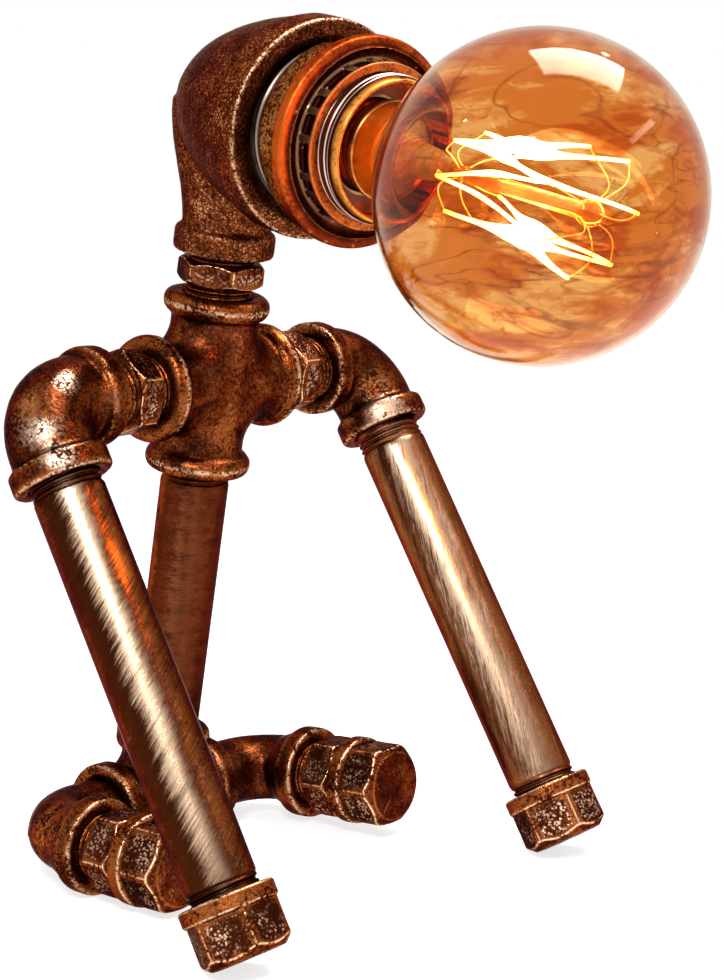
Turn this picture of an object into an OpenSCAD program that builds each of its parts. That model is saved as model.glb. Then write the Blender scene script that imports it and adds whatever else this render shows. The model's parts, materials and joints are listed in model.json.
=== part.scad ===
// Desk lamp in the shape of a small robot, built from threaded half-inch pipe fittings.
// The robot faces -Y and stands on z = 0. Its right side is at -X and its left side at +X.
// The legs turn on the hip tee, the arms on the shoulder nipples and the head on the neck
// nipple. A globe bulb screws into the lampholder that is carried by the head.

/* [Pipe and thread] */
// Outside diameter of the pipe
pipe_od = 21.3; // [20.8:0.1:21.8]
// Wall of the pipe
pipe_wall = 2.6; // [2:0.1:3]
// Mean diameter of the male threads
thread_d = 20.8; // [20.2:0.1:21]
// Radial clearance of a male thread in its socket
thread_gap = 0.05; // [0.03:0.01:0.08]
// Length of male thread inside a socket
engage = 12; // [10:0.5:13]
// Length of thread that shows outside a socket
thread_show = 3.4; // [2.6:0.1:4]

/* [Fittings] */
// Radius of the raised band at the end of an elbow or tee
band_r = 14.9; // [14.2:0.05:15.2]
// Width of that band
band_w = 7; // [6:0.5:8]
// Radius on the edges of that band
band_round = 1.4; // [1:0.1:1.8]
// Outside radius of a cast fitting's body between its bands
cast_r = 12.6; // [12.3:0.1:13]
// Radius of the passage through a fitting, behind its threads
passage_r = 8.6; // [8:0.1:9]
// Depth of the threaded socket in a fitting
socket_l = 13.5; // [13.2:0.1:14]
// Centre to face of the shoulder elbows
elbow_face = 24.8; // [24.5:0.1:27]
// Centre line radius of an elbow's bend
elbow_bend = 15; // [14:0.5:16]
// Centre to face of the hip tee
tee_face = 24.3; // [24:0.1:27]
// Centre to face of the female end of a hip elbow
hip_face = 26.8; // [26:0.1:29]
// Centre line radius of a hip elbow's bend
hip_bend = 15.2; // [15:0.1:16]

/* [Body cross] */
// Centre to face of the cross
cross_face = 28; // [27.5:0.5:30]
// Radius of the beads at the ends of the cross
cross_bead_r = 16.3; // [15.8:0.1:17]
// Width of those beads
cross_bead_w = 6.4; // [6:0.1:7]
// Outside radius of the body of the cross
cross_r = 13.4; // [13:0.1:13.8]
// Centre line radius of the blends between the arms of the cross
cross_blend = 19.5; // [18.5:0.5:21]

/* [Hexagons] */
// Size across the flats of a nipple
hex_af = 24; // [23:0.1:24.6]
// Length of the hexagon of a shoulder or foot nipple
hex_l = 9; // [8:0.5:10]
// Length of the hexagon of the neck nipple
neck_hex_l = 7; // [6.5:0.5:8]
// Size across the flats of a cap
cap_af = 24.6; // [24:0.1:25.2]
// Radius of the band round the mouth of a cap
cap_band_r = 14.1; // [13.8:0.1:14.5]
// Width of that band
cap_band_w = 5; // [4.5:0.5:6]
// Length of the hexagon of a cap
cap_hex_l = 13.4; // [13:0.1:15]
// Radius of the flat end of a cap
cap_end_r = 10.8; // [10.4:0.1:11.4]

/* [Stance] */
// Backwards to forwards lean of the torso, in degrees
lean = 10; // [6:1:14]
// Slope of the right arm below the horizontal, in degrees, which sets the height of the shoulders
arm_slope = 60.63; // [58:0.01:63]
// Length of an arm pipe
arm_pipe_l = 148; // [144:0.1:160]
// How much further the left pipe stands out of its elbow
left_arm_extra = 3; // [0:0.1:3.4]
// Upward tilt of the right foot, in degrees
right_foot_tilt = 0; // [0:0.5:4]
// Upward tilt of the left foot, in degrees
left_foot_tilt = 3; // [0:0.5:4]
// Gap between a tee face and the centre of the right hip elbow's bend
right_hip_gap = 25; // [24:0.1:27]
// Gap between a tee face and the centre of the left hip elbow's bend
left_hip_gap = 25; // [24:0.1:27]
// Turn of the head to the robot's right, in degrees
head_turn = 12.5; // [0:0.5:20]

/* [Head] */
// Centre to face of the neck end of the head
head_neck_face = 45; // [44:0.5:47]
// Centre to face of the lamp end of the head
head_face = 41.6; // [41:0.5:44]
// Radius of the collar at the lamp end
head_collar_r = 31.9; // [31.6:0.1:32.6]
// Width of that collar
head_collar_w = 10.5; // [9.5:0.5:11.5]
// Radius of the head behind the collar
head_bulge_r = 31.1; // [30.6:0.1:31.2]
// Distance from the centre to the back of the head
head_back = 21.4; // [21:0.5:23]
// Wall of the head
head_wall = 4.2; // [3.6:0.1:4.6]
// Radius of the neck of the head above its band
head_neck_r = 13.3; // [13:0.1:13.6]

/* [Lampholder] */
// Mean radius of the thread of the head bushing
bushing_r = 24; // [23.8:0.1:24.4]
// Size across the flats of the head bushing
bushing_af = 51; // [50:0.5:52]
// Length of the hexagon of the head bushing
bushing_hex_l = 11; // [10:0.5:11.5]
// Outside radius of the threaded holder sleeve
sleeve_r = 20.7; // [20.4:0.1:21]
// Wall of the holder sleeve
sleeve_wall = 1.8; // [1.6:0.1:2]
// Distance from the head's centre to the mouth of the sleeve
sleeve_mouth = 75; // [74:0.5:76]
// Radius of the flange of the shade ring
ring_r = 30; // [29:0.1:30.5]
// Width of the rim of the shade ring
ring_rim_w = 4.6; // [4:0.1:5]
// Outside radius of the hub of the shade ring
ring_hub_r = 23.6; // [23.4:0.1:24]
// Length of the hub in front of the flange
ring_hub_l = 6; // [5.5:0.5:6.5]
// Number of times the group of three grip pockets repeats round the hub
pocket_groups = 6; // [5:1:7]
// Inside radius of the holder's screw shell
screw_shell_r = 13.5; // [13.45:0.05:13.6]

/* [Bulb] */
// Radius of the globe
globe_r = 43.3; // [42:0.1:45]
// Overall length of the bulb
bulb_l = 132; // [130:0.5:134]
// Radius of the glass neck
glass_neck_r = 13.7; // [13.5:0.1:14]
// Wall of the glass
glass_wall = 0.9; // [0.7:0.1:1.2]
// Radius of the blend into the globe, as a share of the way from the cap to the globe's centre
glass_flare = 0.243; // [0.2:0.001:0.25]
// Radius of the bulb's screw cap
bulb_cap_r = 13.1; // [13:0.05:13.15]
// Length of the screw cap, with its contact
bulb_cap_l = 27; // [26:0.5:28]
// Number of strands in the filament cage
strands = 14; // [10:2:18]
// Radius of the filament cage at its lower hooks
cage_low_r = 12; // [10:0.5:13]
// Radius of the filament cage at its upper hooks
cage_top_r = 17; // [15:0.5:18]
// Length of the filament cage
cage_l = 46.5; // [46:0.5:48]

/* [Cable] */
// Radius of the twin lead inside the fittings
lead_r = 2.7; // [2.4:0.1:3]
// Radius of the bore of the cable grommet
grommet_bore_r = 3.2; // [3.1:0.1:3.4]

/* [Hidden] */
$fn = 64;

RIGHT = -1;
LEFT = 1;
eps = 0.01;
cove_most = 1.6;

// threads and sockets
thread_r = thread_d / 2;
socket_r = thread_r + thread_gap;
mouth_chamfer = 1;
thread_chamfer = 1;
nipple_bore_r = passage_r - 1.2;

// hexagons, whose corners are turned down from 1.155 of the inscribed radius
hex_corner_r = hex_af / 2 * 1.115;
cap_corner_r = cap_af / 2 * 1.1;
cap_band_round = 1.1;
cap_floor = 4.5;

// thread that shows on either side of each nipple's hexagon
nipple_inner_gap = 3.2;
shoulder_outer_gap = 6.6;
foot_outer_gap = 3.2;
foot_hex_l = hex_l + 2;
foot_seat_gap = 0.8;
neck_low_gap = 3.2;
neck_high_gap = 2.2;

// hip elbows: their slim bend, the flare from it into the band and the parting ridge
hip_r = cast_r - 1.8;
hip_flare_r = band_r - 0.9;
hip_flare_l = 11;
ridge_h = 0.3;
ridge_w = 0.7;

// heights and reaches that follow from the sizes above
hip_z = band_r;
shoulder_x = cross_face + nipple_inner_gap + hex_l + shoulder_outer_gap + elbow_face;
neck_l = cross_face + neck_low_gap + neck_hex_l + neck_high_gap + head_neck_face;
foot_cap_mouth = hip_face + foot_outer_gap + foot_hex_l + foot_seat_gap;
cap_l = cap_band_w + cap_hex_l;
arm_tip = elbow_face + arm_pipe_l - 2 * engage + cap_l;
shoulder_z = arm_tip * sin(arm_slope) + cap_end_r * cos(arm_slope);
spine_l = (shoulder_z - hip_z) / cos(lean);
spine_pipe_l = spine_l - tee_face - cross_face + 2 * engage;
shoulder_y = -spine_l * sin(lean);

// the arm angle, below the horizontal, at which the edge of the hand rests on z = 0
function rest_angle(reach) =
    asin(shoulder_z / norm([reach, cap_end_r])) - atan2(cap_end_r, reach);

// the head: where its body reaches the full radius, its bores and its neck
head_full_at = head_face - head_collar_w;
head_bore_l = 13;
head_seat = head_face - head_bore_l;
head_throat_r = bushing_r - 2;
head_neck_top_r = 20.5;
head_band_r = band_r + 0.5;
head_band_w = band_w + 0.6;

// places along the holder's axis, from the head's centre
bushing_show = 15.3;
bushing_front = head_face + bushing_show;
bushing_thread_l = 15;
ring_gap = 0.5;
ring_dish = 2;
ring_back = bushing_front + ring_gap;
ring_web_at = ring_back + ring_dish;
bulb_inset = 1.3;
bulb_rim_at = sleeve_mouth - bulb_inset;
bulb_tip_at = bulb_rim_at - bulb_cap_l;
globe_at = bulb_tip_at + bulb_l - globe_r;
glass_blend = (globe_at - bulb_rim_at) * glass_flare;
glass_in_cap = 2;
glass_start = bulb_rim_at - glass_in_cap;
insulator_base = 5;
contact_room = 4;
insulator_inset = 10;
insulator_floor = bulb_tip_at - contact_room;
insulator_back = insulator_floor - insulator_base;
insulator_front = sleeve_mouth - insulator_inset;
shell_raise = 5;
sleeve_in_r = sleeve_r - sleeve_wall;
shell_wall = 0.8;
rivet_r = 2;
terminal_x = 10;
terminal_r = 2.4;
terminal_l = 3.5;

// widths, in degrees, of the three grip pockets in a group
pocket_spans = [21, 9, 14];

// the bulb's contact, cap wall, glass rod, button, wires and cage
contact_r = 4.8;
contact_dome_r = 11;
cap_base_l = 4.6;
cap_shell_at = bulb_tip_at + cap_base_l;
cap_wall = 0.45;
glass_seat_gap = 0.02;
stem_rod_r = 2.1;
button_r = 3.6;
support_r = 0.3;
strand_r = 0.35;
hook_gap = 0.9;
cage_behind_share = 0.6;
cage_low_at = globe_at - cage_l * cage_behind_share;
cage_top_at = cage_low_at + cage_l;
support_drop = 4;
support_root_at = cage_low_at - support_drop;

// the stem's foot tapers over this share of its height below the wires, through these radii and shares
stem_taper_share = 0.74;
stem_taper_l = (support_root_at - glass_start) * stem_taper_share;
stem_taper = [[8, 0.23], [5, 0.54], [4, 0.85]];

// the twin lead and the grommet in the back of the tee
lead_turn = 6.5;
lead_joint = 4;
lead_gap = 0.3;
grommet_seat_r = grommet_bore_r + 1.6;
grommet_flange_r = grommet_seat_r + 1;
grommet_inner = passage_r + 0.2;
grommet_face = cast_r - 1.2;

// the object's middle in Y lies on the origin
globe_y = shoulder_y - neck_l * sin(lean) - globe_at * cos(lean) * cos(head_turn);
back_y = hip_z;
shift_y = -(globe_y - globe_r + back_y) / 2;

// ---------------------------------------------------------------- places

module place_torso() {
    translate([0, shift_y, hip_z])
        rotate([lean, 0, 0])
            children();
}

module place_cross() {
    place_torso()
        translate([0, 0, spine_l])
            children();
}

// +Z runs down the arm and +X points to the robot's middle on either side
module place_arm(side) {
    reach = arm_tip + (side == LEFT ? left_arm_extra : 0);
    translate([side * shoulder_x, shift_y + shoulder_y, shoulder_z])
        rotate([90 + rest_angle(reach), 0, 0])
            mirror([side == LEFT ? 1 : 0, 0, 0])
                children();
}

// +Z runs along the foot and +X points to the robot's middle on either side
module place_foot(side) {
    tilt = side == LEFT ? left_foot_tilt : right_foot_tilt;
    gap = side == LEFT ? left_hip_gap : right_hip_gap;
    translate([side * (tee_face + gap), shift_y, hip_z])
        rotate([90 - tilt, 0, 0])
            mirror([side == LEFT ? 1 : 0, 0, 0])
                children();
}

module place_head() {
    place_torso()
        translate([0, 0, spine_l + neck_l])
            rotate([0, 0, -head_turn])
                children();
}

// +Z runs out of the lampholder from the head's centre
module place_holder() {
    place_head()
        rotate([90, 0, 0])
            children();
}

// ---------------------------------------------------------------- cast shapes

// section of a raised band whose face is at y = face, for rotate_extrude
module band_section(r, w, edge, face) {
    translate([0, face - w])
        square([r - edge, w]);
    translate([0, face - w + edge])
        square([r, w - 2 * edge]);
    for (y = [face - edge, face - w + edge])
        translate([r - edge, y])
            circle(edge);
}

// section of a hollow corner that blends a body of radius r into a band above y
module cove_section(r, y, size) {
    difference() {
        translate([r - eps, y - size])
            square([size + eps, size + eps]);
        translate([r + size, y - size])
            circle(size);
    }
}

// one end of a cast fitting, from its centre along +Z to its banded face
module cast_end(body_r, r, w, edge, face, start = 0) {
    cove = min(cove_most, r - body_r);
    rotate_extrude() {
        translate([0, start])
            square([body_r, face - start - w / 2]);
        band_section(r, w, edge, face);
        cove_section(body_r, face - w, cove);
    }
}

// the threaded socket and the passage behind it, cut from one end
module socket(face, start = 0) {
    translate([0, 0, start])
        cylinder(r = passage_r, h = face - start);
    translate([0, 0, face - socket_l])
        cylinder(r = socket_r, h = socket_l + 1);
    translate([0, 0, face - mouth_chamfer])
        cylinder(r1 = socket_r, r2 = socket_r + mouth_chamfer + eps, h = mouth_chamfer + eps);
}

// quarter of a torus that joins an end along +Z to an end along +X
module bend(centre_line, r) {
    translate([centre_line, 0, centre_line])
        rotate([90, 0, 0])
            rotate([0, 0, 180])
                rotate_extrude(angle = 90)
                    translate([centre_line, 0])
                        circle(r);
}

module elbow() {
    difference() {
        union() {
            bend(elbow_bend, cast_r);
            cast_end(cast_r, band_r, band_w, band_round, elbow_face, elbow_bend - eps);
            rotate([0, 90, 0])
                cast_end(cast_r, band_r, band_w, band_round, elbow_face, elbow_bend - eps);
        }
        bend(elbow_bend, passage_r);
        socket(elbow_face, elbow_bend - eps);
        rotate([0, 90, 0])
            socket(elbow_face, elbow_bend - eps);
    }
}

// raised line left by the mould round the middle of a bend
module parting_ridge(centre_line, r) {
    inset = 1;
    translate([centre_line, 0, centre_line])
        rotate([90, 0, 0])
            rotate([0, 0, 180 + inset])
                rotate_extrude(angle = 90 - 2 * inset)
                    translate([centre_line - r - ridge_h, -ridge_w / 2])
                        square([2 * (r + ridge_h), ridge_w]);
}

// elbow with a banded socket along +Z and a male thread along +X, gap from the centre
module street_elbow(gap) {
    bore_r = passage_r - 1;
    male_end = gap + engage;
    band_at = hip_face - band_w;
    stem_l = gap - hip_bend - thread_chamfer;
    difference() {
        union() {
            bend(hip_bend, hip_r);
            parting_ridge(hip_bend, hip_r);
            cast_end(hip_r, band_r, band_w, band_round, hip_face, hip_bend - eps);
            translate([0, 0, band_at + 1 - hip_flare_l])
                cylinder(r1 = hip_r - 0.8, r2 = hip_flare_r, h = hip_flare_l);
            rotate([0, 90, 0]) {
                translate([0, 0, hip_bend - eps])
                    cylinder(r1 = hip_r, r2 = thread_r, h = stem_l + eps);
                male_thread(hip_bend + stem_l - eps, male_end);
            }
        }
        bend(hip_bend, bore_r);
        socket(hip_face, hip_bend - eps);
        rotate([0, 90, 0])
            translate([0, 0, hip_bend - eps])
                cylinder(r = bore_r, h = male_end);
    }
}

// solid thread blank along +Z with a chamfered tip
module male_thread(from, to) {
    translate([0, 0, from])
        cylinder(r = thread_r, h = to - from - thread_chamfer);
    translate([0, 0, to - thread_chamfer - eps])
        cylinder(r1 = thread_r, r2 = thread_r - thread_chamfer, h = thread_chamfer + eps);
}

// hexagonal prism with its corners turned down to a radius and both ends chamfered
module turned_hex(af, corner_r, l) {
    cut = corner_r - af / 2 + 0.2;
    cut_l = cut * 0.7;
    intersection() {
        cylinder(d = af / cos(30), h = l, $fn = 6);
        union() {
            cylinder(r1 = corner_r - cut, r2 = corner_r, h = cut_l);
            translate([0, 0, cut_l - eps])
                cylinder(r = corner_r, h = l - 2 * cut_l + 2 * eps);
            translate([0, 0, l - cut_l])
                cylinder(r1 = corner_r, r2 = corner_r - cut, h = cut_l);
        }
    }
}

// nipple along +Z: low and high are the lengths of its threads below and above the hexagon
module nipple(low, hex, high) {
    difference() {
        union() {
            turned_hex(hex_af, hex_corner_r, hex);
            translate([0, 0, hex])
                male_thread(-eps, high);
            mirror([0, 0, 1])
                male_thread(-eps, low);
        }
        translate([0, 0, -low - 1])
            cylinder(r = nipple_bore_r, h = low + hex + high + 2);
    }
}

// pipe along +Z whose two ends are threaded over the length inside and outside a socket
module pipe(l) {
    end_l = engage + thread_show;
    ramp_l = 0.6;
    bore_r = pipe_od / 2 - pipe_wall;
    difference() {
        union() {
            translate([0, 0, end_l])
                cylinder(d = pipe_od, h = l - 2 * end_l);
            for (m = [0, 1])
                translate([0, 0, m * l])
                    mirror([0, 0, m]) {
                        cylinder(r1 = thread_r - thread_chamfer, r2 = thread_r, h = thread_chamfer);
                        translate([0, 0, thread_chamfer - eps])
                            cylinder(r = thread_r, h = end_l - thread_chamfer + eps);
                        translate([0, 0, end_l - ramp_l])
                            cylinder(r1 = thread_r, d2 = pipe_od, h = ramp_l + eps);
                    }
        }
        translate([0, 0, -1])
            cylinder(r = bore_r, h = l + 2);
    }
}

// hexagon cap along +Z with its mouth at z = 0
module hex_cap() {
    difference() {
        union() {
            rotate_extrude()
                band_section(cap_band_r, cap_band_w, cap_band_round, cap_band_w);
            intersection() {
                translate([0, 0, cap_band_w - 1])
                    cylinder(d = cap_af / cos(30), h = cap_hex_l + 1, $fn = 6);
                cylinder(r = cap_corner_r, h = cap_l);
                cylinder(r1 = cap_end_r + cap_l, r2 = cap_end_r, h = cap_l);
            }
        }
        translate([0, 0, -1])
            cylinder(r = socket_r, h = cap_l - cap_floor + 1);
        translate([0, 0, -eps])
            cylinder(r1 = socket_r + mouth_chamfer, r2 = socket_r, h = mouth_chamfer);
    }
}

// ---------------------------------------------------------------- torso

// tee with a small rounded web where its branch meets its run; the cord enters at its back
module hip_tee() {
    web = elbow_bend + 1;
    web_r = cast_r - 0.25;
    color("#6b3f28")
        place_torso()
            difference() {
                union() {
                    cast_end(cast_r, band_r, band_w, band_round, tee_face);
                    for (m = [0, 1])
                        mirror([m, 0, 0]) {
                            rotate([0, 90, 0])
                                cast_end(cast_r, band_r, band_w, band_round, tee_face);
                            bend(web, web_r);
                        }
                }
                socket(tee_face);
                for (m = [0, 1])
                    mirror([m, 0, 0])
                        rotate([0, 90, 0])
                            socket(tee_face);
                rotate([-90, 0, 0]) {
                    cylinder(r = grommet_seat_r, h = band_r + 2);
                    translate([0, 0, grommet_face])
                        cylinder(r = grommet_flange_r + lead_gap, h = band_r);
                }
            }
}

module spine_pipe() {
    color("#5d3320")
        place_torso()
            translate([0, 0, tee_face - engage])
                pipe(spine_pipe_l);
}

// the cast cross, whose four arms flow into each other over a wide radius
module body_cross() {
    edge = cross_bead_w * 0.44;
    web_r = cross_r - 0.25;
    color("#70452c")
        place_cross()
            difference() {
                union()
                    for (turn = [0, 90, 180, 270])
                        rotate([0, turn, 0]) {
                            cast_end(cross_r, cross_bead_r, cross_bead_w, edge, cross_face);
                            bend(cross_blend, web_r);
                        }
                for (turn = [0, 90, 180, 270])
                    rotate([0, turn, 0])
                        socket(cross_face);
            }
}

module neck_nipple() {
    color("#5a3422")
        place_cross()
            translate([0, 0, cross_face + neck_low_gap])
                nipple(engage + neck_low_gap, neck_hex_l, engage + neck_high_gap);
}

module shoulder_nipple(side) {
    color("#5a3422")
        place_cross()
            rotate([0, side * 90, 0])
                translate([0, 0, cross_face + nipple_inner_gap])
                    nipple(engage + nipple_inner_gap, hex_l, engage + shoulder_outer_gap);
}

// the twin lead rises from the back of the tee, up the spine and through the neck
module torso_lead() {
    top = spine_l + neck_l - head_neck_face + lead_joint;
    color("#2a2624")
        place_torso() {
            translate([0, 0, lead_turn])
                cylinder(r = lead_r, h = top - lead_turn);
            rotate([0, 0, 90])
                bend(lead_turn, lead_r);
            translate([0, lead_turn, 0])
                rotate([-90, 0, 0])
                    cylinder(r = lead_r, h = grommet_inner - lead_gap - lead_turn);
        }
}

// rubber bush in the back of the tee, where the supply cord enters
module cable_grommet() {
    flange_t = 1.2;
    flange_at = grommet_face + thread_gap;
    color("#1d1b1a")
        place_torso()
            rotate([-90, 0, 0])
                difference() {
                    union() {
                        translate([0, 0, grommet_inner])
                            cylinder(r = grommet_seat_r - thread_gap, h = flange_at - grommet_inner + eps);
                        translate([0, 0, flange_at])
                            cylinder(r = grommet_flange_r, h = flange_t);
                    }
                    cylinder(r = grommet_bore_r, h = flange_at + flange_t + 1);
                }
}

// ---------------------------------------------------------------- arms and legs

module shoulder_elbow(side) {
    color("#7a4b30")
        place_arm(side)
            elbow();
}

module arm_pipe(side) {
    extra = side == LEFT ? left_arm_extra : 0;
    color("#8a5333")
        place_arm(side)
            translate([0, 0, elbow_face - engage + extra])
                pipe(arm_pipe_l);
}

module hand_cap(side) {
    extra = side == LEFT ? left_arm_extra : 0;
    color("#6d4129")
        place_arm(side)
            translate([0, 0, arm_tip - cap_l + extra])
                hex_cap();
}

module hip_elbow(side) {
    color("#653a25")
        place_foot(side)
            street_elbow(side == LEFT ? left_hip_gap : right_hip_gap);
}

module foot_nipple(side) {
    color("#5a3422")
        place_foot(side)
            translate([0, 0, hip_face + foot_outer_gap])
                nipple(engage + foot_outer_gap, foot_hex_l, engage + foot_seat_gap);
}

module foot_cap(side) {
    color("#6d4129")
        place_foot(side)
            translate([0, 0, foot_cap_mouth])
                hex_cap();
}

// ---------------------------------------------------------------- head and lampholder

// radius of the head's domed body at a distance along the holder's axis: midway between
// a parabola and an ellipse
function dome_r(at, back, full_r) =
    let (t = min(1, max(0, (at + back) / (head_full_at + back))))
        full_r * (sqrt(t) + sqrt(1 - pow(1 - t, 2))) / 2;

// section of the domed body from its back to front, where its radius is front_r
module dome_section(back, full_r, front, front_r) {
    steps = 16;
    polygon([
        for (i = [0:steps])
            let (at = -back + (head_full_at + back) * pow(i / steps, 1.6))
                if (at < front)
                    [min(front_r, dome_r(at, back, full_r)), at],
        [front_r, front],
        [0, front]
    ]);
}

// section of the head's neck, from the head's centre down to the band
module neck_section(to) {
    steps = 12;
    fall_l = 40;
    polygon([
        [0, 0],
        for (i = [0:steps])
            let (down = to * i / steps)
                [head_neck_r + (head_neck_top_r - head_neck_r) * (1 + cos(180 * down / fall_l)) / 2, down],
        [0, to]
    ]);
}

// the reducing elbow: dome, collar and neck blended into one casting
module head_elbow() {
    collar_edge = 1;
    face_cut = 2.4;
    cove = 1.2;
    neck_end = head_neck_face - head_band_w;
    color("#5f3c27")
        difference() {
            union() {
                place_holder()
                    rotate_extrude() {
                        dome_section(head_back, head_bulge_r, head_full_at + 1, head_bulge_r);
                        band_section(head_collar_r, head_collar_w, collar_edge, head_face);
                    }
                place_head()
                    mirror([0, 0, 1])
                        rotate_extrude() {
                            neck_section(neck_end + 1);
                            band_section(head_band_r, head_band_w, band_round, head_neck_face);
                            cove_section(head_neck_r, neck_end, cove);
                        }
            }
            place_holder() {
                rotate_extrude()
                    dome_section(head_back - head_wall, head_throat_r, head_seat, head_throat_r);
                translate([0, 0, head_seat - eps])
                    cylinder(r = bushing_r + thread_gap, h = head_face);
                translate([0, 0, head_face - face_cut])
                    cylinder(r1 = bushing_r + thread_gap, r2 = bushing_r + face_cut + 1,
                        h = face_cut + eps);
            }
            place_head()
                mirror([0, 0, 1])
                    socket(head_neck_face);
        }
}

// hexagon bushing that screws into the head's collar and carries the holder sleeve
module head_bushing() {
    corner_r = bushing_af / 2 * 1.055;
    flare = 1.4;
    color("#7d6038")
        place_holder()
            translate([0, 0, bushing_front - bushing_hex_l])
                difference() {
                    union() {
                        intersection() {
                            cylinder(d = bushing_af / cos(30), h = bushing_hex_l, $fn = 6);
                            union() {
                                cylinder(r1 = corner_r - flare, r2 = corner_r, h = flare);
                                translate([0, 0, flare - eps])
                                    cylinder(r = corner_r, h = bushing_hex_l);
                            }
                        }
                        translate([0, 0, -bushing_thread_l])
                            cylinder(r = bushing_r, h = bushing_thread_l + eps);
                    }
                    translate([0, 0, -bushing_thread_l - 1])
                        cylinder(r = sleeve_r + thread_gap, h = bushing_thread_l + bushing_hex_l + 2);
                }
}

// threaded metal sleeve of the lampholder, with a plain rolled mouth
module holder_sleeve() {
    lip_l = 3.2;
    lip_r = sleeve_r - 0.4;
    roll_r = 0.55;
    color("#9a6a3c")
        place_holder()
            rotate_extrude()
                difference() {
                    union() {
                        translate([0, insulator_back])
                            square([sleeve_r, sleeve_mouth - lip_l - insulator_back]);
                        translate([0, sleeve_mouth - lip_l - eps])
                            square([lip_r, lip_l - roll_r + eps]);
                        translate([lip_r - roll_r, sleeve_mouth - roll_r])
                            circle(roll_r);
                    }
                    translate([-1, insulator_back - 1])
                        square([sleeve_in_r + 1, sleeve_mouth + 2 - insulator_back]);
                }
}

// rim section with rounded outer corners, its low inner corner at the origin
module rim_section(t, w) {
    edge = 1.2;
    square([t - edge, w]);
    translate([0, edge])
        square([t, w - 2 * edge]);
    for (y = [edge, w - edge])
        translate([t - edge, y])
            circle(edge);
}

// dished shade ring with a hub whose outside is cut into groups of three grip pockets
module shade_ring() {
    rim_t = 3;
    web_t = 2;
    cove = 2.4;
    pocket_deep = 1.6;
    pocket_l = 4.4;
    lip_l = 1.2;
    bore_r = sleeve_r + thread_gap;
    hub_top = ring_web_at + web_t + ring_hub_l;
    group = 360 / pocket_groups;
    rib = (group - pocket_spans[0] - pocket_spans[1] - pocket_spans[2]) / 3;
    starts = [0, pocket_spans[0] + rib, pocket_spans[0] + pocket_spans[1] + 2 * rib];
    color("#a5572a")
        place_holder()
            difference() {
                rotate_extrude() {
                    translate([bore_r, ring_web_at])
                        square([ring_r - bore_r - rim_t + eps, web_t]);
                    translate([ring_r - rim_t, ring_back])
                        rim_section(rim_t, ring_rim_w);
                    translate([bore_r, ring_back])
                        square([ring_hub_r - bore_r, hub_top - ring_back]);
                    translate([ring_r - rim_t, ring_web_at + web_t])
                        difference() {
                            translate([-cove, -eps])
                                square([cove + eps, cove]);
                            translate([-cove, cove])
                                circle(cove);
                        }
                }
                for (g = [0:pocket_groups - 1], i = [0:2])
                    rotate([0, 0, g * group + starts[i]])
                        rotate_extrude(angle = pocket_spans[i])
                            translate([ring_hub_r - pocket_deep, hub_top - lip_l - pocket_l])
                                square([pocket_deep + 1, pocket_l]);
            }
}

// moulded insert that carries the screw shell in front and the terminals behind
module holder_insulator() {
    shell_seat_r = screw_shell_r + shell_wall + thread_gap;
    color("#4a1c10")
        place_holder()
            difference() {
                translate([0, 0, insulator_back])
                    cylinder(r = sleeve_in_r - thread_gap, h = insulator_front - insulator_back);
                translate([0, 0, insulator_floor])
                    cylinder(r = shell_seat_r, h = insulator_front);
                translate([0, 0, insulator_back - 1])
                    cylinder(r = rivet_r, h = insulator_floor - insulator_back + 2);
                for (m = [-1, 1])
                    translate([m * terminal_x, 0, insulator_back - 1])
                        cylinder(r = terminal_r + thread_gap, h = terminal_l + 1 + thread_gap);
            }
}

module holder_screw_shell() {
    start = insulator_floor + shell_raise;
    color("#b98d4b")
        place_holder()
            difference() {
                translate([0, 0, start])
                    cylinder(r = screw_shell_r + shell_wall, h = insulator_front - 1 - start);
                translate([0, 0, start - 1])
                    cylinder(r = screw_shell_r, h = insulator_front);
            }
}

// bent spring tongue under the bulb's contact, riveted through the insert
module centre_contact() {
    t = 0.6;
    w = 7;
    long = 11;
    back = 3;
    seat_gap = 0.02;
    rise = bulb_tip_at - insulator_floor - lead_gap - seat_gap;
    color("#c59a55")
        place_holder() {
            translate([0, 0, insulator_back + 0.2])
                cylinder(r = rivet_r - thread_gap, h = insulator_floor - insulator_back);
            translate([0, -w / 2, insulator_floor + seat_gap]) {
                translate([-back, 0, 0])
                    cube([long, w, t]);
                translate([long - back - t, 0, 0])
                    cube([t, w, rise]);
                translate([-back, 0, rise - t])
                    cube([long, w, t]);
            }
        }
}

// spring tongue that touches the edge of the bulb's screw cap
module side_contact() {
    t = 0.5;
    w = 6;
    foot_l = 3.4;
    rise = 4.6;
    color("#c59a55")
        place_holder()
            translate([-screw_shell_r - 0.3, -w / 2, insulator_floor + 0.02]) {
                cube([t, w, rise]);
                cube([foot_l, w, t]);
            }
}

// two cheese-head terminal screws in the back of the insert
module terminal_screws() {
    head_r = terminal_r + 0.9;
    head_l = 1.55;
    slot_w = 0.8;
    slot_deep = 0.7;
    color("#c9a65e")
        place_holder()
            for (m = [-1, 1])
                translate([m * terminal_x, 0, insulator_back])
                    difference() {
                        union() {
                            translate([0, 0, -thread_gap - eps])
                                cylinder(r = terminal_r, h = terminal_l + thread_gap + eps);
                            translate([0, 0, -thread_gap - head_l])
                                cylinder(r = head_r, h = head_l);
                        }
                        translate([-head_r, -slot_w / 2, -thread_gap - head_l - 1])
                            cube([2 * head_r, slot_w, slot_deep + 1]);
                    }
}

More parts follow.
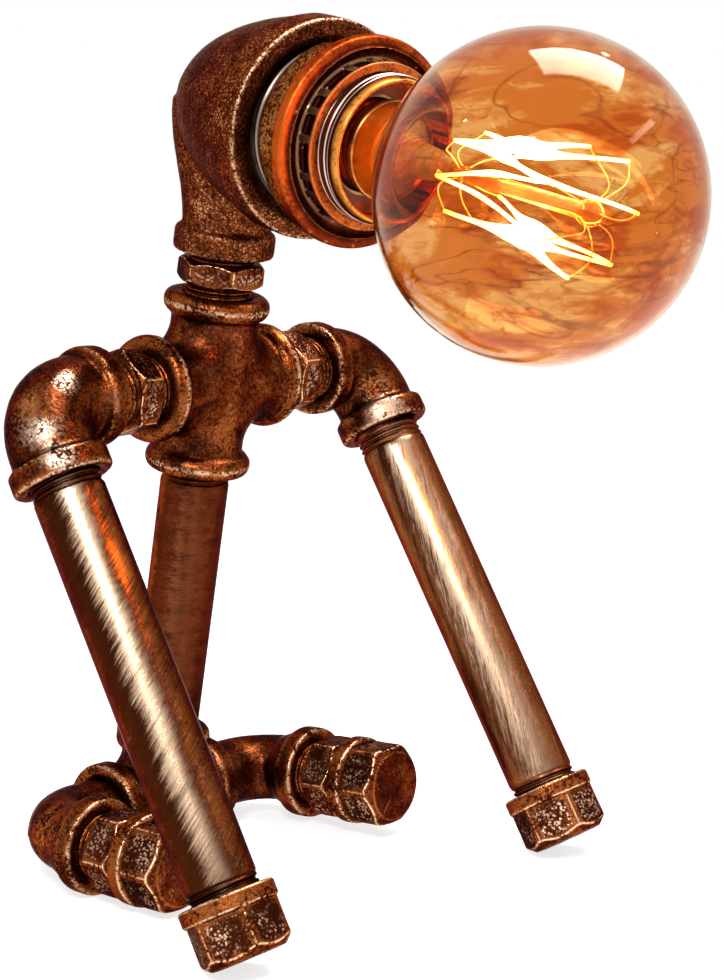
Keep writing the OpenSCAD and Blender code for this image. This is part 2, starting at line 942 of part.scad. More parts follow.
// the twin lead from the neck to the back of the holder
module head_lead() {
    turn = 12;
    start = head_neck_face - lead_joint - lead_gap;
    end_gap = 2;
    color("#2a2624")
        place_head() {
            translate([0, 0, -start])
                cylinder(r = lead_r, h = start - turn);
            rotate([0, 0, -90])
                mirror([0, 0, 1])
                    bend(turn, lead_r);
            translate([0, -turn, 0])
                rotate([90, 0, 0])
                    cylinder(r = lead_r, h = insulator_back - end_gap - turn);
        }
}

// ---------------------------------------------------------------- bulb

// outline of the glass, shrunk inwards by t, for rotate_extrude
module glass_outline(t) {
    r = globe_r - t;
    neck = glass_neck_r - t;
    blend = glass_blend + t;
    blend_x = neck + blend;
    blend_y = globe_at - sqrt(pow(r + blend, 2) - pow(blend_x, 2));
    touch_x = blend_x * r / (r + blend);
    touch_y = globe_at + (blend_y - globe_at) * r / (r + blend);
    start = glass_start - (t > 0 ? 1 : 0);
    intersection() {
        translate([0, globe_at])
            circle(r, $fn = 96);
        translate([0, globe_at - r - 1])
            square([r + 1, 2 * r + 2]);
    }
    translate([0, start])
        square([neck, globe_at - start]);
    difference() {
        polygon([
            [0, blend_y], [neck, blend_y], [blend_x, blend_y], [touch_x, touch_y],
            [0, globe_at]
        ]);
        translate([blend_x, blend_y])
            circle(blend, $fn = 96);
    }
}

module bulb_glass() {
    color([0.85, 0.5, 0.15, 0.35])
        place_holder()
            rotate_extrude($fn = 96)
                difference() {
                    glass_outline(0);
                    glass_outline(glass_wall);
                }
}

// thin screw shell; its rim grips the glass neck
module bulb_cap() {
    rim_l = 3.4;
    step_l = 1;
    rim_at = bulb_rim_at - rim_l;
    seat_r = glass_neck_r + glass_seat_gap;
    rim_r = seat_r + cap_wall;
    color("#b98d4b")
        place_holder()
            difference() {
                union() {
                    translate([0, 0, cap_shell_at])
                        cylinder(r = bulb_cap_r, h = rim_at - cap_shell_at);
                    translate([0, 0, rim_at - eps])
                        cylinder(r1 = bulb_cap_r, r2 = rim_r, h = step_l);
                    translate([0, 0, rim_at + step_l - 2 * eps])
                        cylinder(r = rim_r, h = rim_l - step_l);
                }
                translate([0, 0, cap_shell_at - 1])
                    cylinder(r = bulb_cap_r - cap_wall, h = bulb_cap_l);
                translate([0, 0, glass_start - glass_seat_gap])
                    cylinder(r = seat_r, h = bulb_cap_l);
            }
}

// black glass collar between the screw shell and the contact
module bulb_cap_insulator() {
    nose_r = 6.5;
    nose_at = bulb_tip_at + 1.2;
    plug_l = 2;
    color("#141212")
        place_holder()
            difference() {
                union() {
                    translate([0, 0, nose_at])
                        cylinder(r1 = nose_r, r2 = bulb_cap_r - 2 * cap_wall, h = cap_shell_at - nose_at);
                    translate([0, 0, cap_shell_at - eps])
                        cylinder(r = bulb_cap_r - cap_wall - thread_gap, h = plug_l);
                }
                translate([0, 0, bulb_tip_at - 1])
                    cylinder(r = contact_r + thread_gap, h = cap_shell_at + plug_l - bulb_tip_at + 2);
            }
}

module bulb_cap_contact() {
    dome_l = 0.8;
    body_l = 3.4;
    color("#c9c2b4")
        place_holder()
            rotate_extrude() {
                translate([0, bulb_tip_at + dome_l])
                    square([contact_r, body_l]);
                intersection() {
                    translate([0, bulb_tip_at + contact_dome_r])
                        circle(contact_dome_r, $fn = 96);
                    translate([0, bulb_tip_at])
                        square([contact_r, dome_l + 0.3]);
                }
            }
}

// flared glass foot, rod and button that hold the wires
module bulb_stem() {
    flare_r = glass_neck_r - glass_wall - glass_seat_gap;
    rod_top = cage_top_at - 1;
    lip_l = 0.5;
    color([0.9, 0.75, 0.5, 0.4])
        place_holder()
            rotate_extrude() {
                translate([0, glass_start])
                    polygon([
                        [0, lip_l], [flare_r, lip_l], [flare_r, 4 * lip_l],
                        for (point = stem_taper) [point[0], point[1] * stem_taper_l],
                        [stem_rod_r, stem_taper_l], [stem_rod_r, rod_top - glass_start],
                        [0, rod_top - glass_start]
                    ]);
                intersection() {
                    translate([0, cage_top_at])
                        circle(button_r);
                    translate([0, cage_top_at - button_r])
                        square([button_r, 2 * button_r]);
                }
            }
}

// straight round wire between two points
module wire(a, b, r) {
    v = b - a;
    l = norm(v);
    translate(a)
        rotate([0, acos(v.z / l), atan2(v.y, v.x)])
            cylinder(r = r, h = l, $fn = 16);
}

// a point on the cage's lower (0) or upper (1) ring of hooks
function hook(i, ring) =
    let (turn = 360 / strands * i, r = ring == 0 ? cage_low_r : cage_top_r)
        [r * cos(turn), r * sin(turn), ring == 0 ? cage_low_at : cage_top_at];

// support wires that run from the rod and the button to the hooks
module bulb_supports() {
    root_gap = 0.05;
    low_root = [0, 0, support_root_at];
    top_root = [0, 0, cage_top_at];
    color("#b9772c")
        place_holder()
            for (i = [0:strands - 1]) {
                out = [cos(360 / strands * i), sin(360 / strands * i), 0];
                if (i % 2 == 0)
                    wire(top_root + out * (button_r + root_gap), hook(i, 1) - out * hook_gap, support_r);
                else
                    wire(low_root + out * (stem_rod_r + root_gap), hook(i, 0) - out * hook_gap, support_r);
            }
}

// zigzag filament that runs from hook to hook round the cage
module bulb_filament() {
    past = 0.25;
    color("#ffd27a")
        place_holder()
            for (i = [0:strands - 2]) {
                a = hook(i, 1 - i % 2);
                b = hook(i + 1, i % 2);
                run = (b - a) / norm(b - a);
                wire(a - run * past, b + run * past, strand_r);
            }
}

// ---------------------------------------------------------------- nodes

hip_tee();
spine_pipe();
body_cross();
neck_nipple();
shoulder_nipple(RIGHT);  // right_shoulder_nipple
shoulder_nipple(LEFT);  // left_shoulder_nipple
shoulder_elbow(RIGHT);  // right_shoulder_elbow
shoulder_elbow(LEFT);  // left_shoulder_elbow
arm_pipe(RIGHT);  // right_arm_pipe
arm_pipe(LEFT);  // left_arm_pipe
hand_cap(RIGHT);  // right_hand_cap
hand_cap(LEFT);  // left_hand_cap
hip_elbow(RIGHT);  // right_hip_elbow
hip_elbow(LEFT);  // left_hip_elbow
foot_nipple(RIGHT);  // right_foot_nipple
foot_nipple(LEFT);  // left_foot_nipple
foot_cap(RIGHT);  // right_foot_cap
foot_cap(LEFT);  // left_foot_cap
head_elbow();
head_bushing();
holder_sleeve();
shade_ring();
holder_insulator();
holder_screw_shell();
centre_contact();
side_contact();
terminal_screws();
torso_lead();
head_lead();
cable_grommet();
bulb_glass();
bulb_cap();
bulb_cap_insulator();
bulb_cap_contact();
bulb_stem();
bulb_supports();
bulb_filament();
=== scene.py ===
"""Robot shaped pipe lamp: meshes, finishes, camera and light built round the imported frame."""

import json
import logging
import math
from dataclasses import dataclass, field
from enum import Enum
from typing import Mapping, Sequence

import bmesh
import bpy
import numpy as np
from mathutils import Matrix, Quaternion, Vector

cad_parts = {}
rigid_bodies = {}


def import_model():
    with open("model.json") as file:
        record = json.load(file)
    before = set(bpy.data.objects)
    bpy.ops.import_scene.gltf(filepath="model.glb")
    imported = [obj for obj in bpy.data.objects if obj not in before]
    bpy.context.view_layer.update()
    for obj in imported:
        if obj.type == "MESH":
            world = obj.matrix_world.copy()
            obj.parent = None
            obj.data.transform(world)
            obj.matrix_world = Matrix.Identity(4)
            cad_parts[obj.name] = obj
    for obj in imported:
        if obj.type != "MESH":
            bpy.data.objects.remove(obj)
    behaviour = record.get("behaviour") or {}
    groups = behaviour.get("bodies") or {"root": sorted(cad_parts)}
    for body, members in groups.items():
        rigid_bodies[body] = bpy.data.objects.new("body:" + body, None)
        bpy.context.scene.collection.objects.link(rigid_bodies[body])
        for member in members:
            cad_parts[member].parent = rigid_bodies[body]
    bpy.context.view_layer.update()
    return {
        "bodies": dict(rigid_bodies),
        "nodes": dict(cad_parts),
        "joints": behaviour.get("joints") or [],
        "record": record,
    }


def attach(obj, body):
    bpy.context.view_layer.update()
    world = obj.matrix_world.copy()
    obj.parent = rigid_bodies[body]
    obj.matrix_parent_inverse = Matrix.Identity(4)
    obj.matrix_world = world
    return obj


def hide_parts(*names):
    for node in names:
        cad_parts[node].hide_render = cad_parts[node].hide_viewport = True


LOG = logging.getLogger("lamp")
MM = 0.001
TURN = 2 * math.pi
Colour = tuple[float, float, float]


class Side(Enum):
    """The robot's own sides, by the sign of X."""

    RIGHT = -1
    LEFT = 1

    @property
    def word(self) -> str:
        """The side's name as the nodes spell it."""
        return self.name.lower()


class Slot(Enum):
    """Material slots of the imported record."""

    NIPPLE = "nipple"
    PIPE = "pipe"
    CAP = "cap"
    BUSHING = "bushing"
    SLEEVE = "sleeve"
    GLASS = "amber_glass"
    BULB_CAP = "bulb_cap"
    STEM = "stem_glass"
    WIRE = "support_wire"
    FILAMENT = "filament"


# ---------------------------------------------------------------- sizes and places


@dataclass(frozen=True)
class Sizes:
    """Sizes of the fittings, in millimetres and degrees, as the solids have them."""

    thread_r: float = 10.4
    socket_r: float = 10.45
    engage: float = 12.0
    pitch: float = 1.814
    pipe_r: float = 10.65
    pipe_bore_r: float = 8.05
    hex_af: float = 24.0
    nipple_bore_r: float = 7.4
    elbow_face: float = 24.8
    tee_face: float = 24.3
    hip_face: float = 26.8
    cross_face: float = 28.0
    cross_bead_r: float = 16.3
    cross_bead_w: float = 6.4
    hip_gap: float = 25.0
    thread_show: float = 3.4
    nipple_low_gap: float = 3.2
    neck_hex_l: float = 7.0
    neck_high_gap: float = 2.2
    shoulder_hex_l: float = 9.0
    shoulder_high_gap: float = 6.6
    foot_hex_l: float = 11.0
    foot_high_gap: float = 0.8
    arm_pipe_l: float = 148.0
    left_arm_extra: float = 3.0
    left_foot_tilt: float = 3.0
    cap_l: float = 18.4
    spine_l: float = 138.206
    neck_l: float = 85.4
    hip_z: float = 14.9
    shift_y: float = 98.7055
    lean: float = 10.0
    head_turn: float = 12.5
    bushing_front: float = 56.9
    bushing_hex_l: float = 11.0
    bushing_thread_l: float = 15.0
    bushing_thread_r: float = 24.0
    bushing_pitch: float = 2.309
    bushing_flat: float = 25.5
    bushing_bore_r: float = 20.75
    sleeve_mouth: float = 75.0
    sleeve_bore_r: float = 18.9
    sleeve_r: float = 20.6
    sleeve_thread_r: float = 21.0
    rim_sink: float = 1.3
    glass_sink: float = 2.0
    bulb_l: float = 132.0
    bulb_cap_l: float = 27.0
    globe_r: float = 43.3
    cage_l: float = 46.5
    cage_behind: float = 0.6
    rest_right: float = 60.63
    rest_left: float = 58.6762

    @property
    def spine_pipe_l(self) -> float:
        """Length of the spine pipe, screwed into the tee and the cross."""
        return self.spine_l - self.tee_face - self.cross_face + 2 * self.engage

    @property
    def shoulder_x(self) -> float:
        """From the robot's middle to the middle of a shoulder elbow."""
        nipple = self.nipple_low_gap + self.shoulder_hex_l + self.shoulder_high_gap
        return self.cross_face + nipple + self.elbow_face

    @property
    def arm_tip(self) -> float:
        """From the middle of the shoulder elbow to the end of the hand."""
        return self.elbow_face + self.arm_pipe_l - 2 * self.engage + self.cap_l

    @property
    def bushing_back(self) -> float:
        """The back of the bushing's hexagon, from the head's middle."""
        return self.bushing_front - self.bushing_hex_l

    @property
    def bulb_rim_at(self) -> float:
        """The rim of the bulb's cap, just inside the sleeve's mouth."""
        return self.sleeve_mouth - self.rim_sink

    @property
    def bulb_tip_at(self) -> float:
        """The contact at the bulb's tip."""
        return self.bulb_rim_at - self.bulb_cap_l

    @property
    def globe_at(self) -> float:
        """The middle of the globe."""
        return self.bulb_tip_at + self.bulb_l - self.globe_r

    @property
    def glass_start(self) -> float:
        """The end of the glass inside its cap."""
        return self.bulb_rim_at - self.glass_sink

    @property
    def cage_low_at(self) -> float:
        """The cage's lower ring of hooks, with a share of the cage behind the globe's middle."""
        return self.globe_at - self.cage_l * self.cage_behind


SIZES = Sizes()


def turn(axis: str, degrees: float) -> Matrix:
    """Rotation about one axis.

    Args:
        axis: "X", "Y" or "Z".
        degrees: The angle.

    Returns:
        A 4x4 rotation.
    """
    return Matrix.Rotation(math.radians(degrees), 4, axis)


def shift(x: float, y: float, z: float) -> Matrix:
    """Translation in millimetres as a 4x4 matrix."""
    return Matrix.Translation((x, y, z))


class Places:
    """Where each sub-assembly sits in the frame, in millimetres."""

    def __init__(self, sizes: Sizes) -> None:
        """Works out the places.

        Args:
            sizes: The lamp's sizes.
        """
        s = sizes
        self.sizes = s
        self.torso = shift(0, s.shift_y, s.hip_z) @ turn("X", s.lean)
        self.cross = self.torso @ shift(0, 0, s.spine_l)
        self.head = self.torso @ shift(0, 0, s.spine_l + s.neck_l) @ turn("Z", -s.head_turn)
        self.holder = self.head @ turn("X", 90)

    def shoulder(self, side: Side) -> Matrix:
        """Frame of a shoulder nipple, +Z outwards from its hexagon's inner face."""
        out = self.sizes.cross_face + self.sizes.nipple_low_gap
        return self.cross @ turn("Y", 90 * side.value) @ shift(0, 0, out)

    def arm(self, side: Side) -> Matrix:
        """Frame of an arm.

        Args:
            side: The arm's side.

        Returns:
            A frame with +Z down the pipe from the middle of the shoulder elbow.
        """
        s = self.sizes
        lean = math.radians(s.lean)
        rest = s.rest_left if side is Side.LEFT else s.rest_right
        at = shift(
            side.value * s.shoulder_x,
            s.shift_y - s.spine_l * math.sin(lean),
            s.hip_z + s.spine_l * math.cos(lean),
        )
        return at @ turn("X", 90 + rest) @ self._flip(side)

    def foot(self, side: Side) -> Matrix:
        """Frame of a foot.

        Args:
            side: The foot's side.

        Returns:
            A frame with +Z along the foot from the middle of the hip elbow.
        """
        s = self.sizes
        tilt = s.left_foot_tilt if side is Side.LEFT else 0.0
        at = shift(side.value * (s.tee_face + s.hip_gap), s.shift_y, s.hip_z)
        return at @ turn("X", 90 - tilt) @ self._flip(side)

    @staticmethod
    def _flip(side: Side) -> Matrix:
        """Mirror of X for the left side, so that +X points to the robot's middle."""
        return Matrix.Scale(-1, 4, (1, 0, 0)) if side is Side.LEFT else Matrix.Identity(4)


PLACES = Places(SIZES)


# ---------------------------------------------------------------- shader writing


class Value:
    """A socket of a shader tree that sums and products can be written with."""

    def __init__(self, tree: bpy.types.NodeTree, socket: bpy.types.NodeSocket) -> None:
        """Wraps a socket.

        Args:
            tree: The node tree that owns it.
            socket: An output socket.
        """
        self.tree = tree
        self.socket = socket

    def maths(self, operation: str, *terms: "Value | float") -> "Value":
        """Adds one Math node.

        Args:
            operation: The node's operation.
            terms: Its inputs in order.

        Returns:
            The node's output.
        """
        made = self.tree.nodes.new("ShaderNodeMath")
        made.operation = operation
        for place, term in enumerate(terms):
            if isinstance(term, Value):
                self.tree.links.new(term.socket, made.inputs[place])
            else:
                made.inputs[place].default_value = float(term)
        return Value(self.tree, made.outputs[0])

    def __add__(self, other: "Value | float") -> "Value":
        """Sum."""
        return self.maths("ADD", self, other)

    __radd__ = __add__

    def __sub__(self, other: "Value | float") -> "Value":
        """Difference."""
        return self.maths("SUBTRACT", self, other)

    def __rsub__(self, other: float) -> "Value":
        """A number less this value."""
        return self.maths("SUBTRACT", other, self)

    def __mul__(self, other: "Value | float") -> "Value":
        """Product."""
        return self.maths("MULTIPLY", self, other)

    def __truediv__(self, other: "Value | float") -> "Value":
        """Quotient."""
        return self.maths("DIVIDE", self, other)

    def __pow__(self, other: "Value | float") -> "Value":
        """Power."""
        return self.maths("POWER", self, other)

    def __abs__(self) -> "Value":
        """The value without its sign."""
        return self.maths("ABSOLUTE", self)

    def least(self, other: "Value | float") -> "Value":
        """The smaller of two values."""
        return self.maths("MINIMUM", self, other)

    def most(self, other: "Value | float") -> "Value":
        """The larger of two values."""
        return self.maths("MAXIMUM", self, other)

    def step(self, low: float, high: float) -> "Value":
        """Smooth rise from 0 at low to 1 at high; it falls where low is above high.

        Args:
            low: Where the rise starts.
            high: Where it ends.

        Returns:
            A value from 0 to 1.
        """
        made = self.tree.nodes.new("ShaderNodeMapRange")
        made.interpolation_type = "SMOOTHSTEP"
        self.tree.links.new(self.socket, made.inputs["Value"])
        ends = (low, high, 0.0, 1.0) if low < high else (high, low, 1.0, 0.0)
        for name, end in zip(("From Min", "From Max", "To Min", "To Max"), ends):
            made.inputs[name].default_value = end
        return Value(self.tree, made.outputs["Result"])


class Tree:
    """Writes the nodes of one shader tree."""

    def __init__(self, tree: bpy.types.NodeTree) -> None:
        """Keeps a tree and empties it."""
        self.tree = tree
        tree.nodes.clear()

    def node(self, kind: str, settings: Mapping[str, object] | None = None,
             inputs: Mapping[str | int, object] | None = None, out: str | int = 0) -> Value:
        """Adds a node of any kind but Math.

        Args:
            kind: The node type's name without its ShaderNode start.
            settings: Properties, which are set first.
            inputs: Socket values or links, by name or place.
            out: The output that is returned.

        Returns:
            The chosen output.
        """
        made = self.tree.nodes.new("ShaderNode" + kind)
        for key, value in (settings or {}).items():
            setattr(made, key, value)
        for key, value in (inputs or {}).items():
            if isinstance(value, Value):
                self.tree.links.new(value.socket, made.inputs[key])
            else:
                made.inputs[key].default_value = value
        return Value(self.tree, made.outputs[out])

    def seen(self) -> Value:
        """1 for rays from the camera, by a mirror or through glass, and 0 for those that only light."""
        rays = [self.node("LightPath", out=f"Is {ray} Ray") for ray in ("Camera", "Glossy", "Transmission")]
        return rays[0].most(rays[1]).most(rays[2])

    def end(self, shader: Value, output: str = "OutputMaterial") -> None:
        """Leads a shader to the tree's output."""
        out = self.tree.nodes.new("ShaderNode" + output)
        self.tree.links.new(shader.socket, out.inputs["Surface"])


class Paint(Tree):
    """Writes the node tree of one material."""

    def __init__(self, name: str) -> None:
        """Starts an empty material.

        Args:
            name: The material's name.
        """
        self.material = bpy.data.materials.new(name)
        self.material.use_nodes = True
        super().__init__(self.material.node_tree)

    def place(self) -> Value:
        """The point on the surface, in metres, in the frame of the object at rest."""
        return self.node("TexCoord", out="Object")

    def vector(self, operation: str, a: Value, b: Value | Sequence[float] = (0, 0, 0),
               out: str = "Vector") -> Value:
        """One Vector Math node on two vectors."""
        return self.node("VectorMath", {"operation": operation}, {0: a, 1: b}, out)

    def noise(self, at: Value, size: float, detail: float = 2.0, rough: float = 0.5,
              warp: float = 0.0) -> Value:
        """Cloud noise.

        Args:
            at: The point.
            size: The size of its patches in millimetres.
            detail: Octaves.
            rough: How strong the finer octaves are.
            warp: Distortion.

        Returns:
            A value round 0.5.
        """
        return self.node("TexNoise", {}, {
            "Vector": at, "Scale": 1 / (size * MM), "Detail": detail, "Roughness": rough,
            "Distortion": warp,
        })

    def cells(self, at: Value, size: float, soft: float = 0.6) -> Value:
        """Rounded cells, 0 at their middles, with the given size in millimetres."""
        return self.node("TexVoronoi", {"feature": "SMOOTH_F1"}, {
            "Vector": at, "Scale": 1 / (size * MM), "Smoothness": soft, "Randomness": 1.0,
        }, "Distance")

    def edge(self) -> Value:
        """How convex the surface is, 0.5 where it is flat."""
        return self.node("NewGeometry", out="Pointiness")

    def carried(self, name: str, out: str = "Fac") -> Value:
        """A value that a mesh's points carry, which is 0 on meshes without it."""
        return self.node("Attribute", {"attribute_name": name}, out=out)

    def mix(self, share: Value, a: Value | Colour, b: Value | Colour) -> Value:
        """Colour a where share is 0 and b where it is 1."""
        a, b = (c if isinstance(c, Value) else (*c, 1.0) for c in (a, b))
        return self.node("Mix", {"data_type": "RGBA", "clamp_factor": True}, {0: share, 6: a, 7: b}, 2)

    def bump(self, height: Value, depth: float) -> Value:
        """A normal from a height of 0 to 1, where 1 stands for depth millimetres."""
        return self.node("Bump", {}, {"Height": height, "Distance": depth * MM, "Strength": 1.0})

    def radial(self, place: Matrix) -> tuple[Value, Value]:
        """Distances round and along an axis, for a finish that changes over a turned piece.

        Args:
            place: The frame, in millimetres, whose Z is the axis.

        Returns:
            The distance from the axis and the distance along it, in millimetres.
        """
        axis = (place.to_3x3() @ Vector((0, 0, 1))).normalized()
        off = self.vector("SUBTRACT", self.place(), place.translation * MM)
        along = self.vector("DOT_PRODUCT", off, axis, "Value")
        far = self.vector("LENGTH", off, out="Value")
        away = (far * far - along * along).most(0.0) ** 0.5
        return away * (1 / MM), along * (1 / MM)

    def close(self, inputs: Mapping[str, object]) -> None:
        """Ends the tree in a Principled shader with the given sockets."""
        self.end(self.node("BsdfPrincipled", {}, inputs))

    def metal(self, colour: Value, rough: Value, normal: Value) -> None:
        """Ends the tree in a metal whose slanting edges stay brown."""
        self.close({"Base Color": colour, "Roughness": rough, "Normal": normal,
                    "Metallic": 0.95, "Specular Tint": (0.32, 0.16, 0.075, 1.0)})


# ---------------------------------------------------------------- finishes


@dataclass(frozen=True)
class Beads:
    """Beads round two crossed axes, whose crests are rubbed bright and carry a painted highlight."""

    first: Matrix
    second: Matrix
    radius: float
    start: float

    def crest(self, p: Paint) -> Value:
        """How near the surface is to the crest of a bead.

        Args:
            p: The material's tree.

        Returns:
            A value from 0 to 1.
        """
        (away, along), (other, out) = p.radial(self.first), p.radial(self.second)
        away, out = away.least(other), abs(along).most(abs(out))
        crest = away.step(self.radius - 0.3, self.radius + 0.1)
        return crest * out.step(self.start, self.start + 1) * 0.75


@dataclass(frozen=True)
class Rub:
    """A painted sheen: a zone of a casting painted one paler colour where light falls on it."""

    at: tuple[float, float, float]
    reach: float
    tint: Colour


@dataclass(frozen=True)
class Finish:
    """A surface that one material gives."""

    name: str

    def build(self) -> bpy.types.Material:
        """Writes the material.

        Returns:
            The finished material.
        """
        p = Paint(self.name)
        self.write(p, p.place())
        return p.material

    def write(self, p: Paint, at: Value) -> None:
        """Writes the finish's nodes.

        Args:
            p: The material's tree.
            at: The point on the surface.
        """
        raise NotImplementedError


@dataclass(frozen=True)
class CastBronze(Finish):
    """Malleable iron in dark bronze, finely pitted; edges rubbed bright with painted highlight, creases in
    painted shade.
    """

    pit: Colour = (0.03, 0.006, 0.002)
    body: Colour = (0.1, 0.02, 0.006)
    pale: Colour = (0.26, 0.083, 0.03)
    worn: Colour = (0.9, 0.6, 0.38)
    rust: Colour = (0.3, 0.08, 0.018)
    grain: float = 0.65
    depth: float = 0.15
    wear: tuple[float, float] = (0.518, 0.54)
    collar: float = 0.6
    rough: float = 0.2
    patchy: float = 0.8
    glint: float = 0.8
    # Colour of the painted glints on the pebbles of the flats.
    pebble: Colour = (0.56, 0.34, 0.23)
    beads: Beads | None = None
    # Painted sheen patches, paler where light falls.
    rubs: tuple[Rub, ...] = ()

    def write(self, p: Paint, at: Value) -> None:
        """Writes the finish's nodes."""
        fine = p.noise(at, self.grain, 4.0, 0.68)
        speck = p.cells(at, self.grain * 1.5)
        broad = p.noise(at, 16.0, 3.0, 0.6)
        patch = p.noise(at, 8.5, 4.0, 0.62, 0.6)
        edge = p.edge()
        ridge, panel = p.carried("ridge"), p.carried("panel")
        if self.beads:
            ridge = ridge.most(self.beads.crest(p))
        relief = fine * 0.65 + (1 - speck) * 0.35
        tone = relief + (patch - 0.5) * self.patchy
        colour = p.mix(tone.step(0.38, 0.58), self.pit, self.body)
        orange = (broad.step(0.5, 0.7) * 0.45).most(
            edge.step(0.502, 0.514).most(ridge.step(0.05, 0.12)) * self.collar)
        colour = p.mix(orange * tone.step(0.36, 0.56), colour, self.rust)
        colour = p.mix(tone.step(0.58, self.glint) * (0.3 + patch), colour, self.pale)
        # Painted sheen: each listed patch is painted paler where light falls.
        for sheen in self.rubs:
            off = p.vector("DISTANCE", at, Vector(sheen.at) * MM, "Value") * (1 / MM)
            off = off + (broad - 0.5) * 8 + (patch - 0.5) * 8
            colour = p.mix(off.step(sheen.reach, sheen.reach * 0.3) * tone.step(0.38, 0.62), colour, sheen.tint)
        # Painted shade: darker in concave creases.
        colour = p.mix(edge.step(0.491, 0.462) * 0.85, colour, self.pit)
        colour = p.mix(panel * 0.7, colour, self.pit)
        # Painted glints: pale dots on the pebbles of the flats.
        pebbles = p.cells(at, 0.95, 0.15).step(0.52, 0.3) * patch.step(0.38, 0.56)
        colour = p.mix(panel * pebbles, colour, self.pebble)
        # Convex edges and ridges: rubbed bright, with a painted highlight along them.
        wear = edge.step(*self.wear).most(ridge.step(0.3, 0.8)) * tone.step(0.4, 0.58)
        colour = p.mix(wear * 0.9, colour, self.worn)
        p.metal(colour, self.rough + (0.62 - relief) * 0.5, p.bump(relief, self.depth))


@dataclass(frozen=True)
class BrushedPipe(Finish):
    """Pipe in thin bronze, brushed slantwise; painted highlight on its camera side, painted shade and warm
    reflection beside.
    """

    dark: Colour = (0.035, 0.007, 0.002)
    body: Colour = (0.125, 0.03, 0.009)
    pale: Colour = (0.56, 0.38, 0.25)
    tint: Colour = (0.38, 0.105, 0.022)
    rough: float = 0.24
    # Weights of the painted highlight, the painted shade and the painted warm reflection on either side.
    bare: float = 1.0
    shade: float = 0.9
    spread: float = 1.0
    left: float = 0.25
    right: float = 0.85

    def write(self, p: Paint, at: Value) -> None:
        """Writes the finish's nodes."""
        grain, way = p.carried("grain", "Vector"), p.carried("round", "Vector")
        ahead, aside, along = (p.node("SeparateXYZ", {}, {0: way}, k) for k in "XYZ")
        hair = p.noise(grain, 0.24, 4.0, 0.75)
        streak = p.noise(grain, 1.3, 3.0, 0.65)
        cloud = p.noise(at, 20.0, 3.0, 0.55)
        pits = p.noise(at, 0.8, 2.0, 0.6)
        angle = aside.maths("ARCTAN2", aside, ahead) * (360 / TURN / self.spread)
        angle = angle + (streak - 0.5) * 34 + (hair - 0.5) * 60 + (cloud - 0.5) * 22
        tone = hair * 0.55 + streak * 0.45
        colour = p.mix(tone.step(0.36, 0.6), self.dark, self.body)
        colour = p.mix(pits.step(0.55, 0.72) * 0.2, colour, self.pale)
        # Painted warm reflection: orange bands at set angles from the camera side, stronger near the pipe's
        # start.
        warm_reflection = angle.step(22.0, 34.0) * angle.step(66.0, 46.0) * (0.25 + along.step(78.0, 30.0)) * self.right
        warm_reflection = warm_reflection + angle.step(-50.0, -64.0) * angle.step(-115.0, -90.0) * self.left
        colour = p.mix(warm_reflection * cloud.step(0.34, 0.56) * (0.4 + hair), colour, self.tint)
        # Painted shade: a dark band beside the painted highlight.
        shade = angle.step(-62.0, -46.0) * angle.step(-14.0, -26.0)
        colour = p.mix(shade * self.shade, colour, self.dark)
        blotch = p.noise(at, 9.0, 3.0, 0.6).step(0.46, 0.6) * tone.step(0.6, 0.42)
        colour = p.mix(blotch * 0.75, colour, self.dark)
        # Painted highlight: pale along the camera side, fading towards the pipe's far end.
        bare = angle.step(-22.0, -6.0) * angle.step(24.0, 6.0) * (0.3 + along.step(160.0, 60.0))
        colour = p.mix(bare * (0.35 + tone.step(0.36, 0.6)) * self.bare, colour, self.pale)
        low = SIZES.engage + SIZES.thread_show
        high = SIZES.arm_pipe_l - low
        ends = along.step(low + 0.6, low).most(along.step(high - 0.6, high))
        colour = p.mix(ends * 0.85, colour, self.dark)
        p.metal(colour, self.rough + (hair - 0.5) * 0.4, p.bump(hair, 0.03))


@dataclass(frozen=True)
class PebbledBrass(Finish):
    """Aged brass whose faces are hammered in small pebbles, with a silvery thread."""

    dark: Colour = (0.07, 0.014, 0.003)
    body: Colour = (0.3, 0.115, 0.032)
    pale: Colour = (0.7, 0.42, 0.2)
    root: Colour = (0.03, 0.01, 0.006)
    crest: Colour = (0.24, 0.19, 0.16)

    def write(self, p: Paint, at: Value) -> None:
        """Writes the finish's nodes."""
        speck = p.cells(at, 0.9, 0.4)
        fine = p.noise(at, 0.6, 3.0, 0.6)
        patch = p.noise(at, 7.0, 3.0, 0.6)
        away, along = p.radial(PLACES.holder)
        relief = (1 - speck) * 0.6 + fine * 0.4
        tone = relief + (patch - 0.5) * 0.5
        colour = p.mix(tone.step(0.36, 0.58), self.dark, self.body)
        colour = p.mix(tone.step(0.62, 0.84), colour, self.pale)
        back, crest = SIZES.bushing_back, SIZES.bushing_thread_r
        thread = along.step(back + 1.0, back)
        metal = p.mix(away.step(crest - 0.7, crest - 0.2) * patch.step(0.25, 0.4), self.root, self.crest)
        colour = p.mix(thread, colour, metal)
        p.metal(colour, 0.26 + (1 - relief) * 0.15, p.bump(relief * (1 - thread), 0.16))


